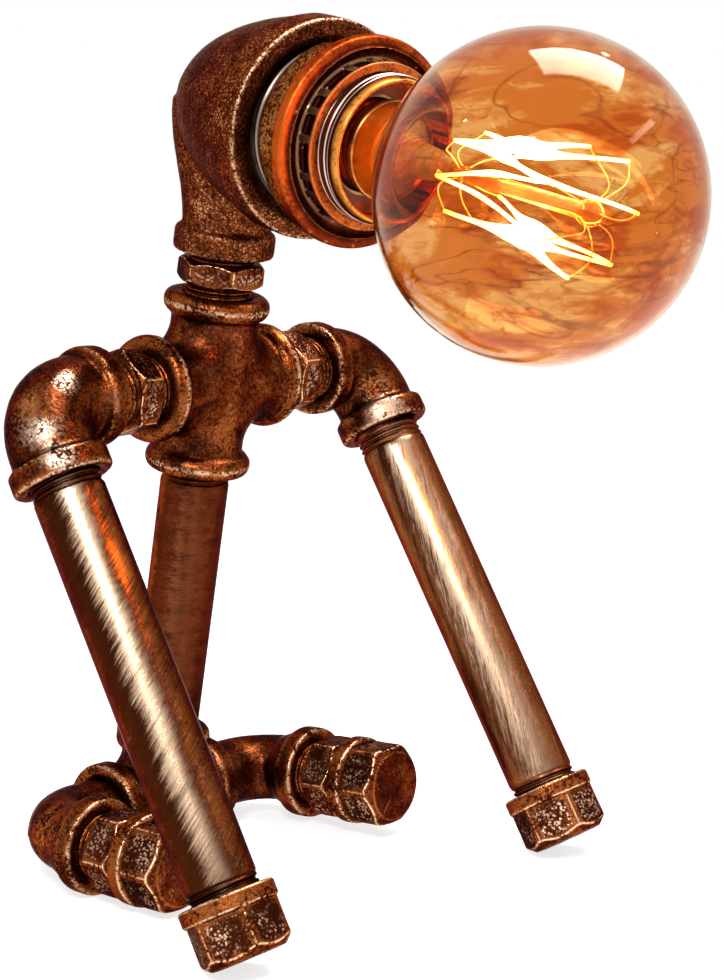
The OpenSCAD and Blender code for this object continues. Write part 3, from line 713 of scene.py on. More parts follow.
@dataclass(frozen=True)
class RingCopper(Finish):
    """Shade ring copper bronze: burnt orange rim, dark web, ribbed hub, orange lip; painted light above,
    shade in pockets.
    """

    dark: Colour = (0.034, 0.005, 0.0025)
    body: Colour = (0.1, 0.02, 0.008)
    rim: Colour = (0.46, 0.085, 0.013)
    ember: Colour = (0.13, 0.016, 0.004)
    lip: Colour = (0.52, 0.125, 0.03)
    rib: Colour = (0.21, 0.11, 0.055)
    worn: Colour = (0.8, 0.55, 0.33)
    rim_r: float = 28.0
    hub_r: float = 24.2
    groove_r: float = 22.6
    hub_at: float = 60.6
    lip_at: float = 66.0

    def write(self, p: Paint, at: Value) -> None:
        """Writes the finish's nodes."""
        fine = p.noise(at, 0.8, 4.0, 0.65)
        patch = p.noise(at, 4.0, 4.0, 0.65, 0.5)
        high = p.node("SeparateXYZ", {}, {0: at}, "Z") * (1 / MM)
        away, along = p.radial(PLACES.holder)
        edge = p.edge()
        tone = fine * 0.5 + patch * 0.5
        # Painted light from above: the upper part of the ring, by height in millimetres.
        upper = high.step(196.0, 222.0)
        colour = p.mix(tone.step(0.42, 0.66), self.dark, self.body)
        # Painted light: the rim is brighter in a band of height.
        lit = upper * high.step(262.0, 236.0) * 0.22
        glow = p.mix((tone + lit).step(0.48, 0.76), self.ember, self.rim)
        colour = p.mix(away.step(self.rim_r - 0.7, self.rim_r + 0.7), colour, glow)
        hub = along.step(self.hub_at, self.hub_at + 0.6) * away.step(self.hub_r + 0.2, self.hub_r - 0.2)
        # Ribs shown only on the upper part: painted light.
        colour = p.mix(hub * away.step(22.7, 23.4) * upper, colour, self.rib)
        # Painted shade in the hub's pockets.
        colour = p.mix(hub * away.step(self.groove_r + 0.3, self.groove_r - 0.3), colour, self.dark)
        # Painted highlight on the hub's edges, upper part only.
        colour = p.mix(edge.step(0.52, 0.56) * hub * upper * tone.step(0.46, 0.6), colour, self.worn)
        lip = along.step(self.lip_at, self.lip_at + 0.5)
        colour = p.mix(lip * (0.2 + tone.step(0.36, 0.6)), colour, self.lip)
        colour = p.mix(edge.step(0.515, 0.55) * (1 - hub) * 0.6, colour, self.lip)
        p.metal(colour, 0.24 + tone * 0.3, p.bump(tone, 0.2))


@dataclass(frozen=True)
class SleeveCopper(Finish):
    """Copper sleeve: thin pale thread crests over dark roots, a gold mouth and a red inside with painted
    glow from the bulb.
    """

    root: Colour = (0.035, 0.008, 0.004)
    crest: Colour = (0.86, 0.6, 0.5)
    gold: Colour = (0.7, 0.26, 0.05)
    inside: Colour = (0.42, 0.05, 0.01)

    def write(self, p: Paint, at: Value) -> None:
        """Writes the finish's nodes."""
        fine = p.noise(at, 0.9, 4.0, 0.6)
        patch = p.noise(at, 5.0, 3.0, 0.6)
        away, along = p.radial(PLACES.holder)
        crest, mouth_at, bore = SIZES.sleeve_thread_r, SIZES.sleeve_mouth - 3.1, SIZES.sleeve_bore_r
        colour = p.mix(away.step(crest - 0.24, crest - 0.06), self.root, self.crest)
        mouth = p.mix((fine * 0.5 + patch * 0.5).step(0.34, 0.54), self.root, self.gold)
        colour = p.mix(along.step(mouth_at, mouth_at + 0.4), colour, mouth)
        # Red inside: the copper's colour with painted glow from the bulb.
        colour = p.mix(away.step(bore + 0.4, bore + 0.2), colour, self.inside)
        p.metal(colour, 0.22 + patch * 0.2, p.bump(fine, 0.04))


@dataclass(frozen=True)
class TurnedMetal(Finish):
    """Plain turned or drawn metal with a little tarnish, and painted shade in its concave creases."""

    body: Colour
    dark: Colour
    rough: float = 0.3
    grain: float = 1.5

    def write(self, p: Paint, at: Value) -> None:
        """Writes the finish's nodes."""
        stain = p.noise(at, self.grain * 3, 4.0, 0.6)
        fine = p.noise(at, self.grain * 0.4, 2.0, 0.6)
        colour = p.mix(stain.step(0.36, 0.62), self.dark, self.body)
        # Painted shade: darker in concave creases.
        colour = p.mix(p.edge().step(0.49, 0.46) * 0.7, colour, self.dark)
        p.metal(colour, self.rough + (1 - stain) * 0.2, p.bump(fine, 0.03))


@dataclass(frozen=True)
class Moulded(Finish):
    """Rubber, resin or black glass: not a metal, with a faint mottle."""

    body: Colour
    shade: Colour
    rough: float = 0.6

    def write(self, p: Paint, at: Value) -> None:
        """Writes the finish's nodes."""
        cloud = p.noise(at, 4.0, 4.0, 0.6)
        fine = p.noise(at, 0.5, 2.0, 0.6)
        colour = p.mix(cloud.step(0.35, 0.65), self.shade, self.body)
        p.close({
            "Base Color": colour, "Roughness": self.rough + (fine - 0.5) * 0.2,
            "Normal": p.bump(fine, 0.04),
        })


@dataclass(frozen=True)
class AmberGlass(Finish):
    """Clear glass, amber coat lying unevenly, deeper where seen slantwise; clouds and veins also painted
    reflection.
    """

    pale: Colour = (0.9, 0.6, 0.3)
    body: Colour = (0.7, 0.262, 0.042)
    deep: Colour = (0.4, 0.1, 0.02)
    clear: float = 1.0

    def write(self, p: Paint, at: Value) -> None:
        """Writes the finish's nodes."""
        flow = p.vector("MULTIPLY", at, (0.55, 0.55, 1.3))
        cloud = p.noise(flow, 34.0, 4.0, 0.58, 1.0)
        vein = p.noise(flow, 40.0, 3.0, 0.5, 1.1)
        fibre = p.noise(flow, 3.0, 4.0, 0.7, 1.5)
        # Pale clouds and dark veins: uneven coat and painted reflection.
        colour = p.mix((cloud + (fibre - 0.5) * 0.25).step(0.47, 0.56), self.body, self.pale)
        thin = abs(vein - 0.5).step(0.014, 0.0) * fibre.step(0.35, 0.5)
        slant = p.node("LayerWeight", {}, {"Blend": 0.35}, "Facing")
        colour = p.mix((thin * 0.75).most(slant.step(0.4, 0.95) * 0.9), colour, self.deep)
        p.close({
            "Base Color": colour, "Roughness": 0.0, "Transmission Weight": self.clear, "IOR": 1.2,
        })


@dataclass(frozen=True)
class Glow(Finish):
    """Wire that glows, whitest in the middle of its length."""

    core: Colour = (1.0, 0.9, 0.62)
    end: Colour = (1.0, 0.62, 0.16)
    power: float = 30.0
    middle: float = 133.0
    reach: float = 25.0

    def write(self, p: Paint, at: Value) -> None:
        """Writes the finish's nodes."""
        _, along = p.radial(PLACES.holder)
        off = (along - self.middle) / self.reach
        colour = p.mix((off * off).step(0.15, 1.0), self.core, self.end)
        p.close({
            "Base Color": (0.9, 0.6, 0.3, 1.0), "Roughness": 0.5,
            "Emission Color": colour, "Emission Strength": self.power,
        })


# ---------------------------------------------------------------- meshes


@dataclass(frozen=True)
class Brush:
    """How a pipe is brushed: turns of the strokes, their length and the side where its painted highlight
    lies.
    """

    spin: float = -0.13
    squeeze: float = 0.035
    # Angle round the pipe, in degrees, of the camera side where the painted highlight lies.
    side: float = 134.0
    sense: float = -1.0
    wrap: float = 1.0


@dataclass
class Turned:
    """A shape turned about Z from rows of radii, which may also change round the axis."""

    around: int = 144
    rows: list[tuple[float, np.ndarray, np.ndarray, np.ndarray]] = field(default_factory=list)

    @property
    def angles(self) -> np.ndarray:
        """The angles round the axis, in radians."""
        return np.arange(self.around) * TURN / self.around

    def row(self, z: float, r: "float | np.ndarray", ridge: "float | np.ndarray" = 0.0,
            panel: "float | np.ndarray" = 0.0) -> None:
        """Adds a row.

        Args:
            z: Height in millimetres.
            r: Radius, the same or changing round the axis.
            ridge: How near a ridge that is rubbed bright with a painted highlight the row is, 0 to 1.
            panel: How far inside a flat it is, 0 to 1.
        """
        one = np.ones(self.around)
        self.rows.append((z, r * one, ridge * one, panel * one))

    def line(self, points: Sequence[tuple[float, float]]) -> None:
        """Adds plain rows from (height, radius) pairs."""
        for z, r in points:
            self.row(z, r)

    def thread(self, start: float, end: float, crest: float, depth: float, pitch: float,
               fade_in: float = 0.0, fade_out: float = 0.0, steps: int = 9) -> None:
        """Adds the rows of a screw thread.

        Args:
            start: Height of the first row.
            end: Height of the last row.
            crest: Radius on the crests.
            depth: Crest to root.
            pitch: Rise in one turn.
            fade_in: Length over which the thread deepens at its start.
            fade_out: Length over which it runs out at its end.
            steps: Rows in one pitch.
        """
        count = max(2, int(abs(end - start) / pitch * steps))
        for z in np.linspace(start, end, count):
            wave = 0.5 - 0.5 * np.cos(TURN * z / pitch - self.angles)
            cut = depth * (1 - wave ** 0.8)
            share = 1.0
            if fade_in:
                share = min(share, abs(z - start) / fade_in)
            if fade_out:
                share = min(share, abs(end - z) / fade_out)
            self.row(z, crest - cut * share)

    def hexagon(self, flat: float, corner: float, power: float) -> np.ndarray:
        """Radii of a hexagon whose corners, one of them on +X, are turned down and soft.

        Args:
            flat: Inscribed radius.
            corner: Radius that the corners are turned down to.
            power: How crisply the two meet.

        Returns:
            One radius for each angle.
        """
        return soft_least(self.sharp(flat), corner, power)

    def sharp(self, flat: float) -> np.ndarray:
        """Radii of a hexagon with sharp corners."""
        return flat / np.cos(np.mod(self.angles, math.pi / 3) - math.pi / 6)

    def corners(self, flat: float) -> np.ndarray:
        """Distance in millimetres from the nearest corner of a hexagon."""
        return (math.pi / 6 - np.abs(np.mod(self.angles, math.pi / 3) - math.pi / 6)) * flat * 1.15

    def build(self, name: str, place: Matrix, ring: bool = False,
              brush: "Brush | None" = None) -> bpy.types.Object:
        """Makes the object.

        Args:
            name: The object's name.
            place: Its frame in millimetres.
            ring: Whether the last row joins the first, where a point would close each end.
            brush: How a brushed piece is stroked, and where its painted highlight lies.

        Returns:
            The object, its mesh in the row frame in metres.
        """
        n, m = len(self.rows), self.around
        a = self.angles
        points = np.zeros((n, m, 3))
        for i, (z, r, _, _) in enumerate(self.rows):
            points[i] = np.stack([r * np.cos(a), r * np.sin(a), np.full(m, z)], 1)
        verts = points.reshape(-1, 3)
        faces = []
        for i in range(n if ring else n - 1):
            low, high = i * m, ((i + 1) % n) * m
            faces += [(low + j, low + (j + 1) % m, high + (j + 1) % m, high + j) for j in range(m)]
        if not ring:
            verts = np.vstack([verts, [0, 0, self.rows[0][0]], [0, 0, self.rows[-1][0]]])
            last = (n - 1) * m
            faces += [(j, (j + 1) % m, n * m) for j in range(m)]
            faces += [(last + j, last + (j + 1) % m, n * m + 1) for j in range(m)]
        made = solid(name, verts, faces, place)
        for layer, part in (("ridge", 2), ("panel", 3)):
            values = np.zeros(len(verts))
            values[:n * m] = np.concatenate([row[part] for row in self.rows])
            mark(made, layer, "FLOAT", values)
        if brush:
            angle = np.arctan2(verts[:, 1], verts[:, 0])
            theta = angle + verts[:, 2] * brush.spin
            r = np.hypot(verts[:, 0], verts[:, 1]) * brush.wrap
            flow = np.stack([r * np.cos(theta), r * np.sin(theta), verts[:, 2] * brush.squeeze], 1) * MM
            # Angle from the line of the painted highlight, for the painted light on the pipe.
            angle = (angle - math.radians(brush.side)) * brush.sense
            way = np.stack([np.cos(angle), np.sin(angle), verts[:, 2]], 1)
            mark(made, "grain", "FLOAT_VECTOR", flow)
            mark(made, "round", "FLOAT_VECTOR", way)
        return made


def mark(made: bpy.types.Object, name: str, kind: str, values: np.ndarray) -> None:
    """Stores values on a mesh's points.

    Args:
        made: The object.
        name: The attribute's name.
        kind: FLOAT or FLOAT_VECTOR.
        values: One value or vector for each point.
    """
    layer = made.data.attributes.new(name, kind, "POINT")
    layer.data.foreach_set("value" if kind == "FLOAT" else "vector", values.astype(np.float32).ravel())


def meeting(a: "np.ndarray | float", b: "np.ndarray | float", width: float) -> np.ndarray:
    """How near two radii are: 1 where they meet, falling off over the width."""
    return np.exp(-((a - b) / width) ** 2)


def ramp(a: "np.ndarray | float", low: float, high: float) -> "np.ndarray | float":
    """Straight rise from 0 at low to 1 at high."""
    return np.clip((a - low) / (high - low), 0.0, 1.0)


def soft_least(a: "np.ndarray | float", b: "np.ndarray | float", power: float) -> np.ndarray:
    """The lesser of two radii with a soft corner where they meet.

    Args:
        a: First radius.
        b: Second radius.
        power: How crisp the corner is.

    Returns:
        The blended radius.
    """
    top = np.minimum(a, b)
    return top * ((a / top) ** -power + (b / top) ** -power) ** (-1 / power) * 2 ** (0.35 / power)


def soft_most(a: "np.ndarray | float", b: "np.ndarray | float", power: float) -> np.ndarray:
    """The larger of two radii with a soft hollow where they meet."""
    top = np.maximum(a, b)
    return top * ((a / top) ** power + (b / top) ** power) ** (1 / power)


def show(made: bpy.types.Object) -> None:
    """Links an object to the scene."""
    bpy.context.scene.collection.objects.link(made)


def solid(name: str, verts: np.ndarray, faces: Sequence[Sequence[int]],
          place: Matrix) -> bpy.types.Object:
    """Makes a smooth mesh object from millimetres.

    Args:
        name: The object's name.
        verts: Points in the local frame, in millimetres.
        faces: Point numbers of each face.
        place: The local frame in millimetres.

    Returns:
        The object.
    """
    turned = np.array(place.to_3x3())
    moved = (verts @ turned.T + np.array(place.translation)) * MM
    mesh = bpy.data.meshes.new(name)
    mesh.from_pydata(moved.tolist(), [], [list(f) for f in faces])
    work = bmesh.new()
    work.from_mesh(mesh)
    bmesh.ops.recalc_face_normals(work, faces=work.faces)
    work.to_mesh(mesh)
    work.free()
    mesh.shade_smooth()
    made = bpy.data.objects.new(name, mesh)
    show(made)
    return made


def tube(name: str, lines: Sequence[np.ndarray], radii: Sequence[np.ndarray],
         place: Matrix, sides: int = 8) -> bpy.types.Object:
    """Round wires along polylines, as one object.

    Args:
        name: The object's name.
        lines: Each wire's points in the local frame, in millimetres.
        radii: Each wire's radius at its points.
        place: The local frame.
        sides: Sides of a wire's section.

    Returns:
        The object.
    """
    verts, faces = [], []
    for line, radius in zip(lines, radii):
        base = len(verts)
        run = np.gradient(line, axis=0)
        run /= np.linalg.norm(run, axis=1)[:, None]
        across = np.cross(run[0], (0.3, 0.9, 0.31))
        for i, (point, way) in enumerate(zip(line, run)):
            across = across - way * (across @ way)
            across /= np.linalg.norm(across)
            other = np.cross(way, across)
            for k in range(sides):
                a = TURN * k / sides
                verts.append(point + radius[i] * (across * math.cos(a) + other * math.sin(a)))
        for i in range(len(line) - 1):
            low, high = base + i * sides, base + (i + 1) * sides
            faces += [(low + k, low + (k + 1) % sides, high + (k + 1) % sides, high + k)
                      for k in range(sides)]
        faces.append([base + k for k in range(sides)])
        faces.append([base + (len(line) - 1) * sides + k for k in range(sides)])
    return solid(name, np.array(verts), faces, place)


# ---------------------------------------------------------------- sub-assemblies


class Workshop:
    """Dresses nodes and hands new pieces to their bodies."""

    lump_size: float = 5.0

    def __init__(self, frame: dict, materials: Mapping[str, bpy.types.Material]) -> None:
        """Keeps the loaded frame and the materials.

        Args:
            materials: Each finish's material, by the finish's name.
        """
        self.nodes = frame["nodes"]
        self.materials = materials

    def paint(self, made: bpy.types.Object, finish: str) -> None:
        """Puts one finish on every slot of an object."""
        made.data.materials.clear()
        made.data.materials.append(self.materials[finish])

    def cast(self, node: str, finish: str, voxel: float = 0.6, smooth: int = 4,
             lumps: float = 0.22) -> None:
        """Softens a cast node's edges, gives its skin shallow lumps and paints it.

        Args:
            node: The node's name.
            finish: Its finish.
            voxel: Size of the new mesh's faces in millimetres.
            smooth: Passes of smoothing.
            lumps: Height of the lumps in millimetres.
        """
        made = self.nodes[node]
        remesh = made.modifiers.new("skin", "REMESH")
        remesh.mode = "VOXEL"
        remesh.voxel_size = voxel * MM
        remesh.use_smooth_shade = True
        soften = made.modifiers.new("soften", "SMOOTH")
        soften.factor = 0.5
        soften.iterations = smooth
        self.lump(made, lumps)
        self.paint(made, finish)
        LOG.info("cast %s", node)

    def lump(self, made: bpy.types.Object, height: float) -> None:
        """Adds shallow lumps to a mesh.

        Args:
            made: The object.
            height: Full height in millimetres.
        """
        if not height:
            return
        cloud = bpy.data.textures.get("casting_lumps")
        if cloud is None:
            cloud = bpy.data.textures.new("casting_lumps", "CLOUDS")
            cloud.noise_scale = self.lump_size * MM
            cloud.noise_depth = 2
        push = made.modifiers.new("lumps", "DISPLACE")
        push.texture = cloud
        push.texture_coords = "LOCAL"
        push.strength = height * MM
        push.mid_level = 0.5

    def plain(self, node: str, finish: str) -> None:
        """Paints a node whose shape is right as it is.

        Args:
            node: The node's name.
            finish: Its finish.
        """
        made = self.nodes[node]
        made.data.shade_smooth()
        crease = made.modifiers.new("crease", "EDGE_SPLIT")
        crease.split_angle = math.radians(32)
        self.paint(made, finish)
        LOG.info("painted %s", node)

    def fit(self, made: bpy.types.Object, body: str, slot: Slot, finish: str, replaced: str,
            lumps: float = 0.0) -> None:
        """Finishes a new piece.

        Args:
            made: The piece.
            body: The body that it rides on.
            slot: The record's slot for its finish; not used.
            finish: Its finish.
            replaced: The node that it stands for.
            lumps: Height of cast lumps in millimetres.
        """
        self.paint(made, finish)
        self.lump(made, lumps)
        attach(made, body)
        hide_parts(replaced)
        LOG.info("made %s on %s", made.name, body)


@dataclass
class Fitting:
    """A turned fitting that stands for one node."""

    shop: Workshop
    name: str
    body: str
    place: Matrix


@dataclass
class HexNipple(Fitting):
    """A short nipple: hexagon in the middle, thread on either side."""

    hexagon_l: float
    high_gap: float
    crest: float = 10.22
    depth: float = 0.7

    def build(self) -> None:
        """Makes the nipple."""
        s = SIZES
        t = Turned(around=216)
        low, high = s.engage + s.nipple_low_gap, s.engage + self.high_gap
        flat, slope, crisp = s.hex_af / 2, 0.7, 130
        corner = flat * 1.115
        cut = corner - flat + 0.2
        cut_l, long = cut * slope, self.hexagon_l
        hexa = t.hexagon(flat, corner, crisp)
        off = t.corners(flat)
        # Hexagon corners: rubbed bright, with a painted highlight.
        edges = meeting(off, 0, 0.45) * 0.75
        inner = ramp(off, 1.0, 2.4)
        t.line([(-low, s.nipple_bore_r), (-low, s.thread_r - 1), (-low + 1, self.crest - 0.05)])
        t.thread(-s.nipple_low_gap - 2.2, -0.02, self.crest, self.depth, s.pitch)
        flats = np.linspace(cut_l, long - cut_l, 14)[1:-1]
        for z in np.concatenate([np.linspace(0, cut_l, 6), flats, np.linspace(long - cut_l, long, 6)]):
            near = min(z, long - z)
            cone = corner - cut + near / slope
            ridge = np.maximum(edges * (cone > hexa), meeting(hexa, cone, 0.2))
            t.row(z, soft_least(hexa, cone, crisp), ridge, inner * ramp(near, 1.2, 2.6) * 0.7)
        t.thread(long + 0.02, long + self.high_gap + 2.2, self.crest, self.depth, s.pitch)
        end = long + high
        t.line([(end - 1, self.crest - 0.05), (end, s.thread_r - 1), (end, s.nipple_bore_r)])
        made = t.build(self.name + "_turned", self.place, ring=True)
        self.shop.fit(made, self.body, Slot.NIPPLE, "nipple_bronze", self.name, lumps=0.16)


@dataclass
class HexCap(Fitting):
    """A hexagon cap with a banded mouth and a soft end."""

    band_r: float = 14.1
    band_w: float = 5.0
    band_round: float = 1.1
    flat: float = 12.3
    end_r: float = 10.8

    def build(self) -> None:
        """Makes the cap."""
        s = SIZES
        t = Turned(around=240)
        long = s.cap_l
        corner = self.flat * 1.1
        hexa = t.hexagon(self.flat, corner, 110)
        off = t.corners(self.flat)
        # Hexagon corners: rubbed bright, with a painted highlight.
        edges = meeting(off, 0, 0.45) * 0.7
        inner = ramp(off, 1.2, 2.6)
        t.line([(long - 4.5, s.socket_r), (1.0, s.socket_r), (0.0, s.socket_r + 1.0)])
        edge = self.band_round
        for k in range(7):
            a = math.pi / 2 * k / 6
            t.row(edge - edge * math.cos(a), self.band_r - edge + edge * math.sin(a), 0.75 * math.sin(2 * a))
        for z in np.linspace(edge, self.band_w + 0.5, 22)[1:]:
            over = max(0.0, z - (self.band_w - edge))
            band = self.band_r - edge + math.sqrt(max(0.0, edge ** 2 - min(over, edge) ** 2))
            if over >= edge:
                band = self.flat - 0.4
            # The band's back edge: rubbed bright, with a painted highlight.
            line = 0.12 + 0.6 * math.exp(-((over - edge * 0.6) / 0.4) ** 2) * (over > 0)
            t.row(z, soft_most(band, hexa if z > self.band_w - 1.6 else self.flat - 1, 60), line)
        for z in np.linspace(self.band_w + 0.5, long - 0.25, 44)[1:]:
            cone = self.end_r - 0.2 + (long - z) * 1.1
            ridge = np.maximum(edges * (cone > hexa), meeting(hexa, cone, 0.35))
            panel = inner * ramp(z, self.band_w + 0.8, self.band_w + 2.0) * ramp(cone - hexa, 0.8, 2.0)
            t.row(z, soft_least(hexa, cone, 80), ridge, panel)
        last = t.rows[-1][1]
        for k in (0.985, 0.96, 0.9, 0.8, 0.65, 0.5, 0.3, 0.1):
            t.row(long - 0.25 * k ** 6, last * k)
        made = t.build(self.name + "_turned", self.place)
        self.shop.fit(made, self.body, Slot.CAP, "cap_bronze", self.name, lumps=0.2)


@dataclass
class ThreadedPipe(Fitting):
    """A pipe whose ends are threaded and show a few turns outside their sockets."""

    long: float
    brush: Brush
    finish: str
    depth: float = 0.85

    def build(self) -> None:
        """Makes the pipe."""
        s = SIZES
        t = Turned(around=128)
        end, crest = s.engage + s.thread_show, s.thread_r + 0.05
        t.line([(0, s.pipe_bore_r), (0, s.thread_r - 1), (1, s.thread_r - 0.3)])
        t.thread(s.engage - 2, end, crest, self.depth, s.pitch, fade_out=1.2)
        t.line([(z, s.pipe_r) for z in np.linspace(end + 0.5, self.long - end - 0.5, 60)])
        t.thread(self.long - end, self.long - s.engage + 2, crest, self.depth, s.pitch, fade_in=1.2)
        t.line([(self.long - 1, s.thread_r - 0.3), (self.long, s.thread_r - 1), (self.long, s.pipe_bore_r)])
        made = t.build(self.name + "_brushed", self.place, ring=True, brush=self.brush)
        self.shop.fit(made, self.body, Slot.PIPE, self.finish, self.name)


@dataclass
class Torso:
    """Hip tee, spine, chest cross, neck and shoulder nipples, lead and grommet."""

    shop: Workshop

    def build(self) -> None:
        """Makes and dresses the torso's pieces."""
        s = SIZES
        self.shop.cast("hip_tee", "cast_bronze")
        self.shop.cast("body_cross", "chest_bronze")
        spine = PLACES.torso @ shift(0, 0, s.tee_face - s.engage)
        brush = Brush(spin=0.0, squeeze=0.4, side=-138.0, sense=1.0, wrap=0.12)
        ThreadedPipe(self.shop, "spine_pipe", "torso", spine, s.spine_pipe_l, brush, "brushed_spine").build()
        neck = PLACES.cross @ shift(0, 0, s.cross_face + s.nipple_low_gap)
        HexNipple(self.shop, "neck_nipple", "torso", neck, s.neck_hex_l, s.neck_high_gap).build()
        for side in Side:
            HexNipple(self.shop, f"{side.word}_shoulder_nipple", "torso", PLACES.shoulder(side),
                      s.shoulder_hex_l, s.shoulder_high_gap).build()
        for node in ("torso_lead", "cable_grommet"):
            self.shop.plain(node, "black_rubber")


@dataclass
class Arm:
    """Shoulder elbow, arm pipe and hand cap of one side."""

    shop: Workshop
    side: Side

    def build(self) -> None:
        """Makes and dresses the arm."""
        s = SIZES
        word, body = self.side.word, f"{self.side.word}_arm"
        extra, brush, finish = 0.0, Brush(), "brushed_pipe"
        if self.side is Side.LEFT:
            extra, finish = s.left_arm_extra, "brushed_pipe_left"
            brush = Brush(spin=0.02, squeeze=0.05, side=41.0, sense=1.0)
        place = PLACES.arm(self.side)
        self.shop.cast(f"{word}_shoulder_elbow", "cast_bronze")
        start = place @ shift(0, 0, s.elbow_face - s.engage + extra)
        ThreadedPipe(self.shop, f"{word}_arm_pipe", body, start, s.arm_pipe_l, brush, finish).build()
        end = place @ shift(0, 0, s.arm_tip - s.cap_l + extra)
        HexCap(self.shop, f"{word}_hand_cap", body, end).build()


@dataclass
class Leg:
    """Hip elbow, foot nipple and foot cap of one side."""

    shop: Workshop
    side: Side

    def build(self) -> None:
        """Makes and dresses the leg."""
        s = SIZES
        word, body = self.side.word, f"{self.side.word}_leg"
        place = PLACES.foot(self.side)
        self.shop.cast(f"{word}_hip_elbow", "cast_bronze")
        start = s.hip_face + s.nipple_low_gap
        HexNipple(self.shop, f"{word}_foot_nipple", body, place @ shift(0, 0, start),
                  s.foot_hex_l, s.foot_high_gap).build()
        end = place @ shift(0, 0, start + s.foot_hex_l + s.foot_high_gap)
        HexCap(self.shop, f"{word}_foot_cap", body, end).build()


@dataclass
class Head:
    """Head elbow, bushing, lampholder with its shade ring, and the parts inside them."""

    shop: Workshop

    def build(self) -> None:
        """Makes and dresses the head."""
        self.shop.cast("head_elbow", "head_bronze", smooth=7)
        self.bushing()
        self.holder()
        self.shop.cast("shade_ring", "ring_copper", voxel=0.32, smooth=1, lumps=0.0)
        self.shop.plain("holder_insulator", "brown_resin")
        for node in ("holder_screw_shell", "centre_contact", "side_contact", "terminal_screws"):
            self.shop.plain(node, "contact_brass")
        self.shop.plain("head_lead", "black_rubber")

    def bushing(self) -> None:
        """Makes the hexagon bushing with its thread."""
        t = Turned(around=216)
        s = SIZES
        front, long, bore, crest = s.bushing_front, s.bushing_hex_l, s.bushing_bore_r, s.bushing_thread_r
        back, corner, edge = s.bushing_back, s.bushing_flat * 1.055, 1.4
        start = back - s.bushing_thread_l
        hexa = t.hexagon(s.bushing_flat, corner, 90)
        t.line([(start, bore), (start, crest - 0.8), (start + 3, crest - 0.4)])
        t.thread(back - 6, back - 0.02, crest, 0.9, s.bushing_pitch)
        for z in np.concatenate([np.linspace(0, edge, 6), np.linspace(edge, 10.4, 16)[1:], [10.8, long]]):
            cone = corner - edge + z if z < 5 else corner - 0.1 + (long - z) * 1.5
            t.row(back + z, soft_least(hexa, cone, 90))
        t.line([(front, bore + 0.4), (front - 0.4, bore)])
        made = t.build("head_bushing_turned", PLACES.holder, ring=True)
        self.shop.fit(made, "head", Slot.BUSHING, "pebbled_brass", "head_bushing", lumps=0.1)

    def holder(self) -> None:
        """Makes the threaded sleeve with its rolled mouth."""
        t = Turned(around=180)
        s = SIZES
        mouth, bore, r = s.sleeve_mouth, s.sleeve_bore_r, s.sleeve_r
        start = s.bulb_tip_at - 9
        t.line([(mouth - 0.6, bore), (start, bore), (start, r), (mouth - 15, r), (mouth - 10, r)])
        t.thread(mouth - 9.8, mouth - 3.4, s.sleeve_thread_r, 1.25, 2.8, fade_out=0.5, steps=18)
        t.line([(mouth - 3.2, 19.8), (mouth - 3.0, 20.25), (mouth - 2.6, 20.4), (mouth - 0.8, 20.25)])
        for k in range(9):
            a = math.pi * k / 8
            t.row(mouth - 0.7 + 0.7 * math.sin(a), 19.55 + 0.65 * math.cos(a))
        made = t.build("holder_sleeve_turned", PLACES.holder, ring=True)
        self.shop.fit(made, "head", Slot.SLEEVE, "sleeve_copper", "holder_sleeve")


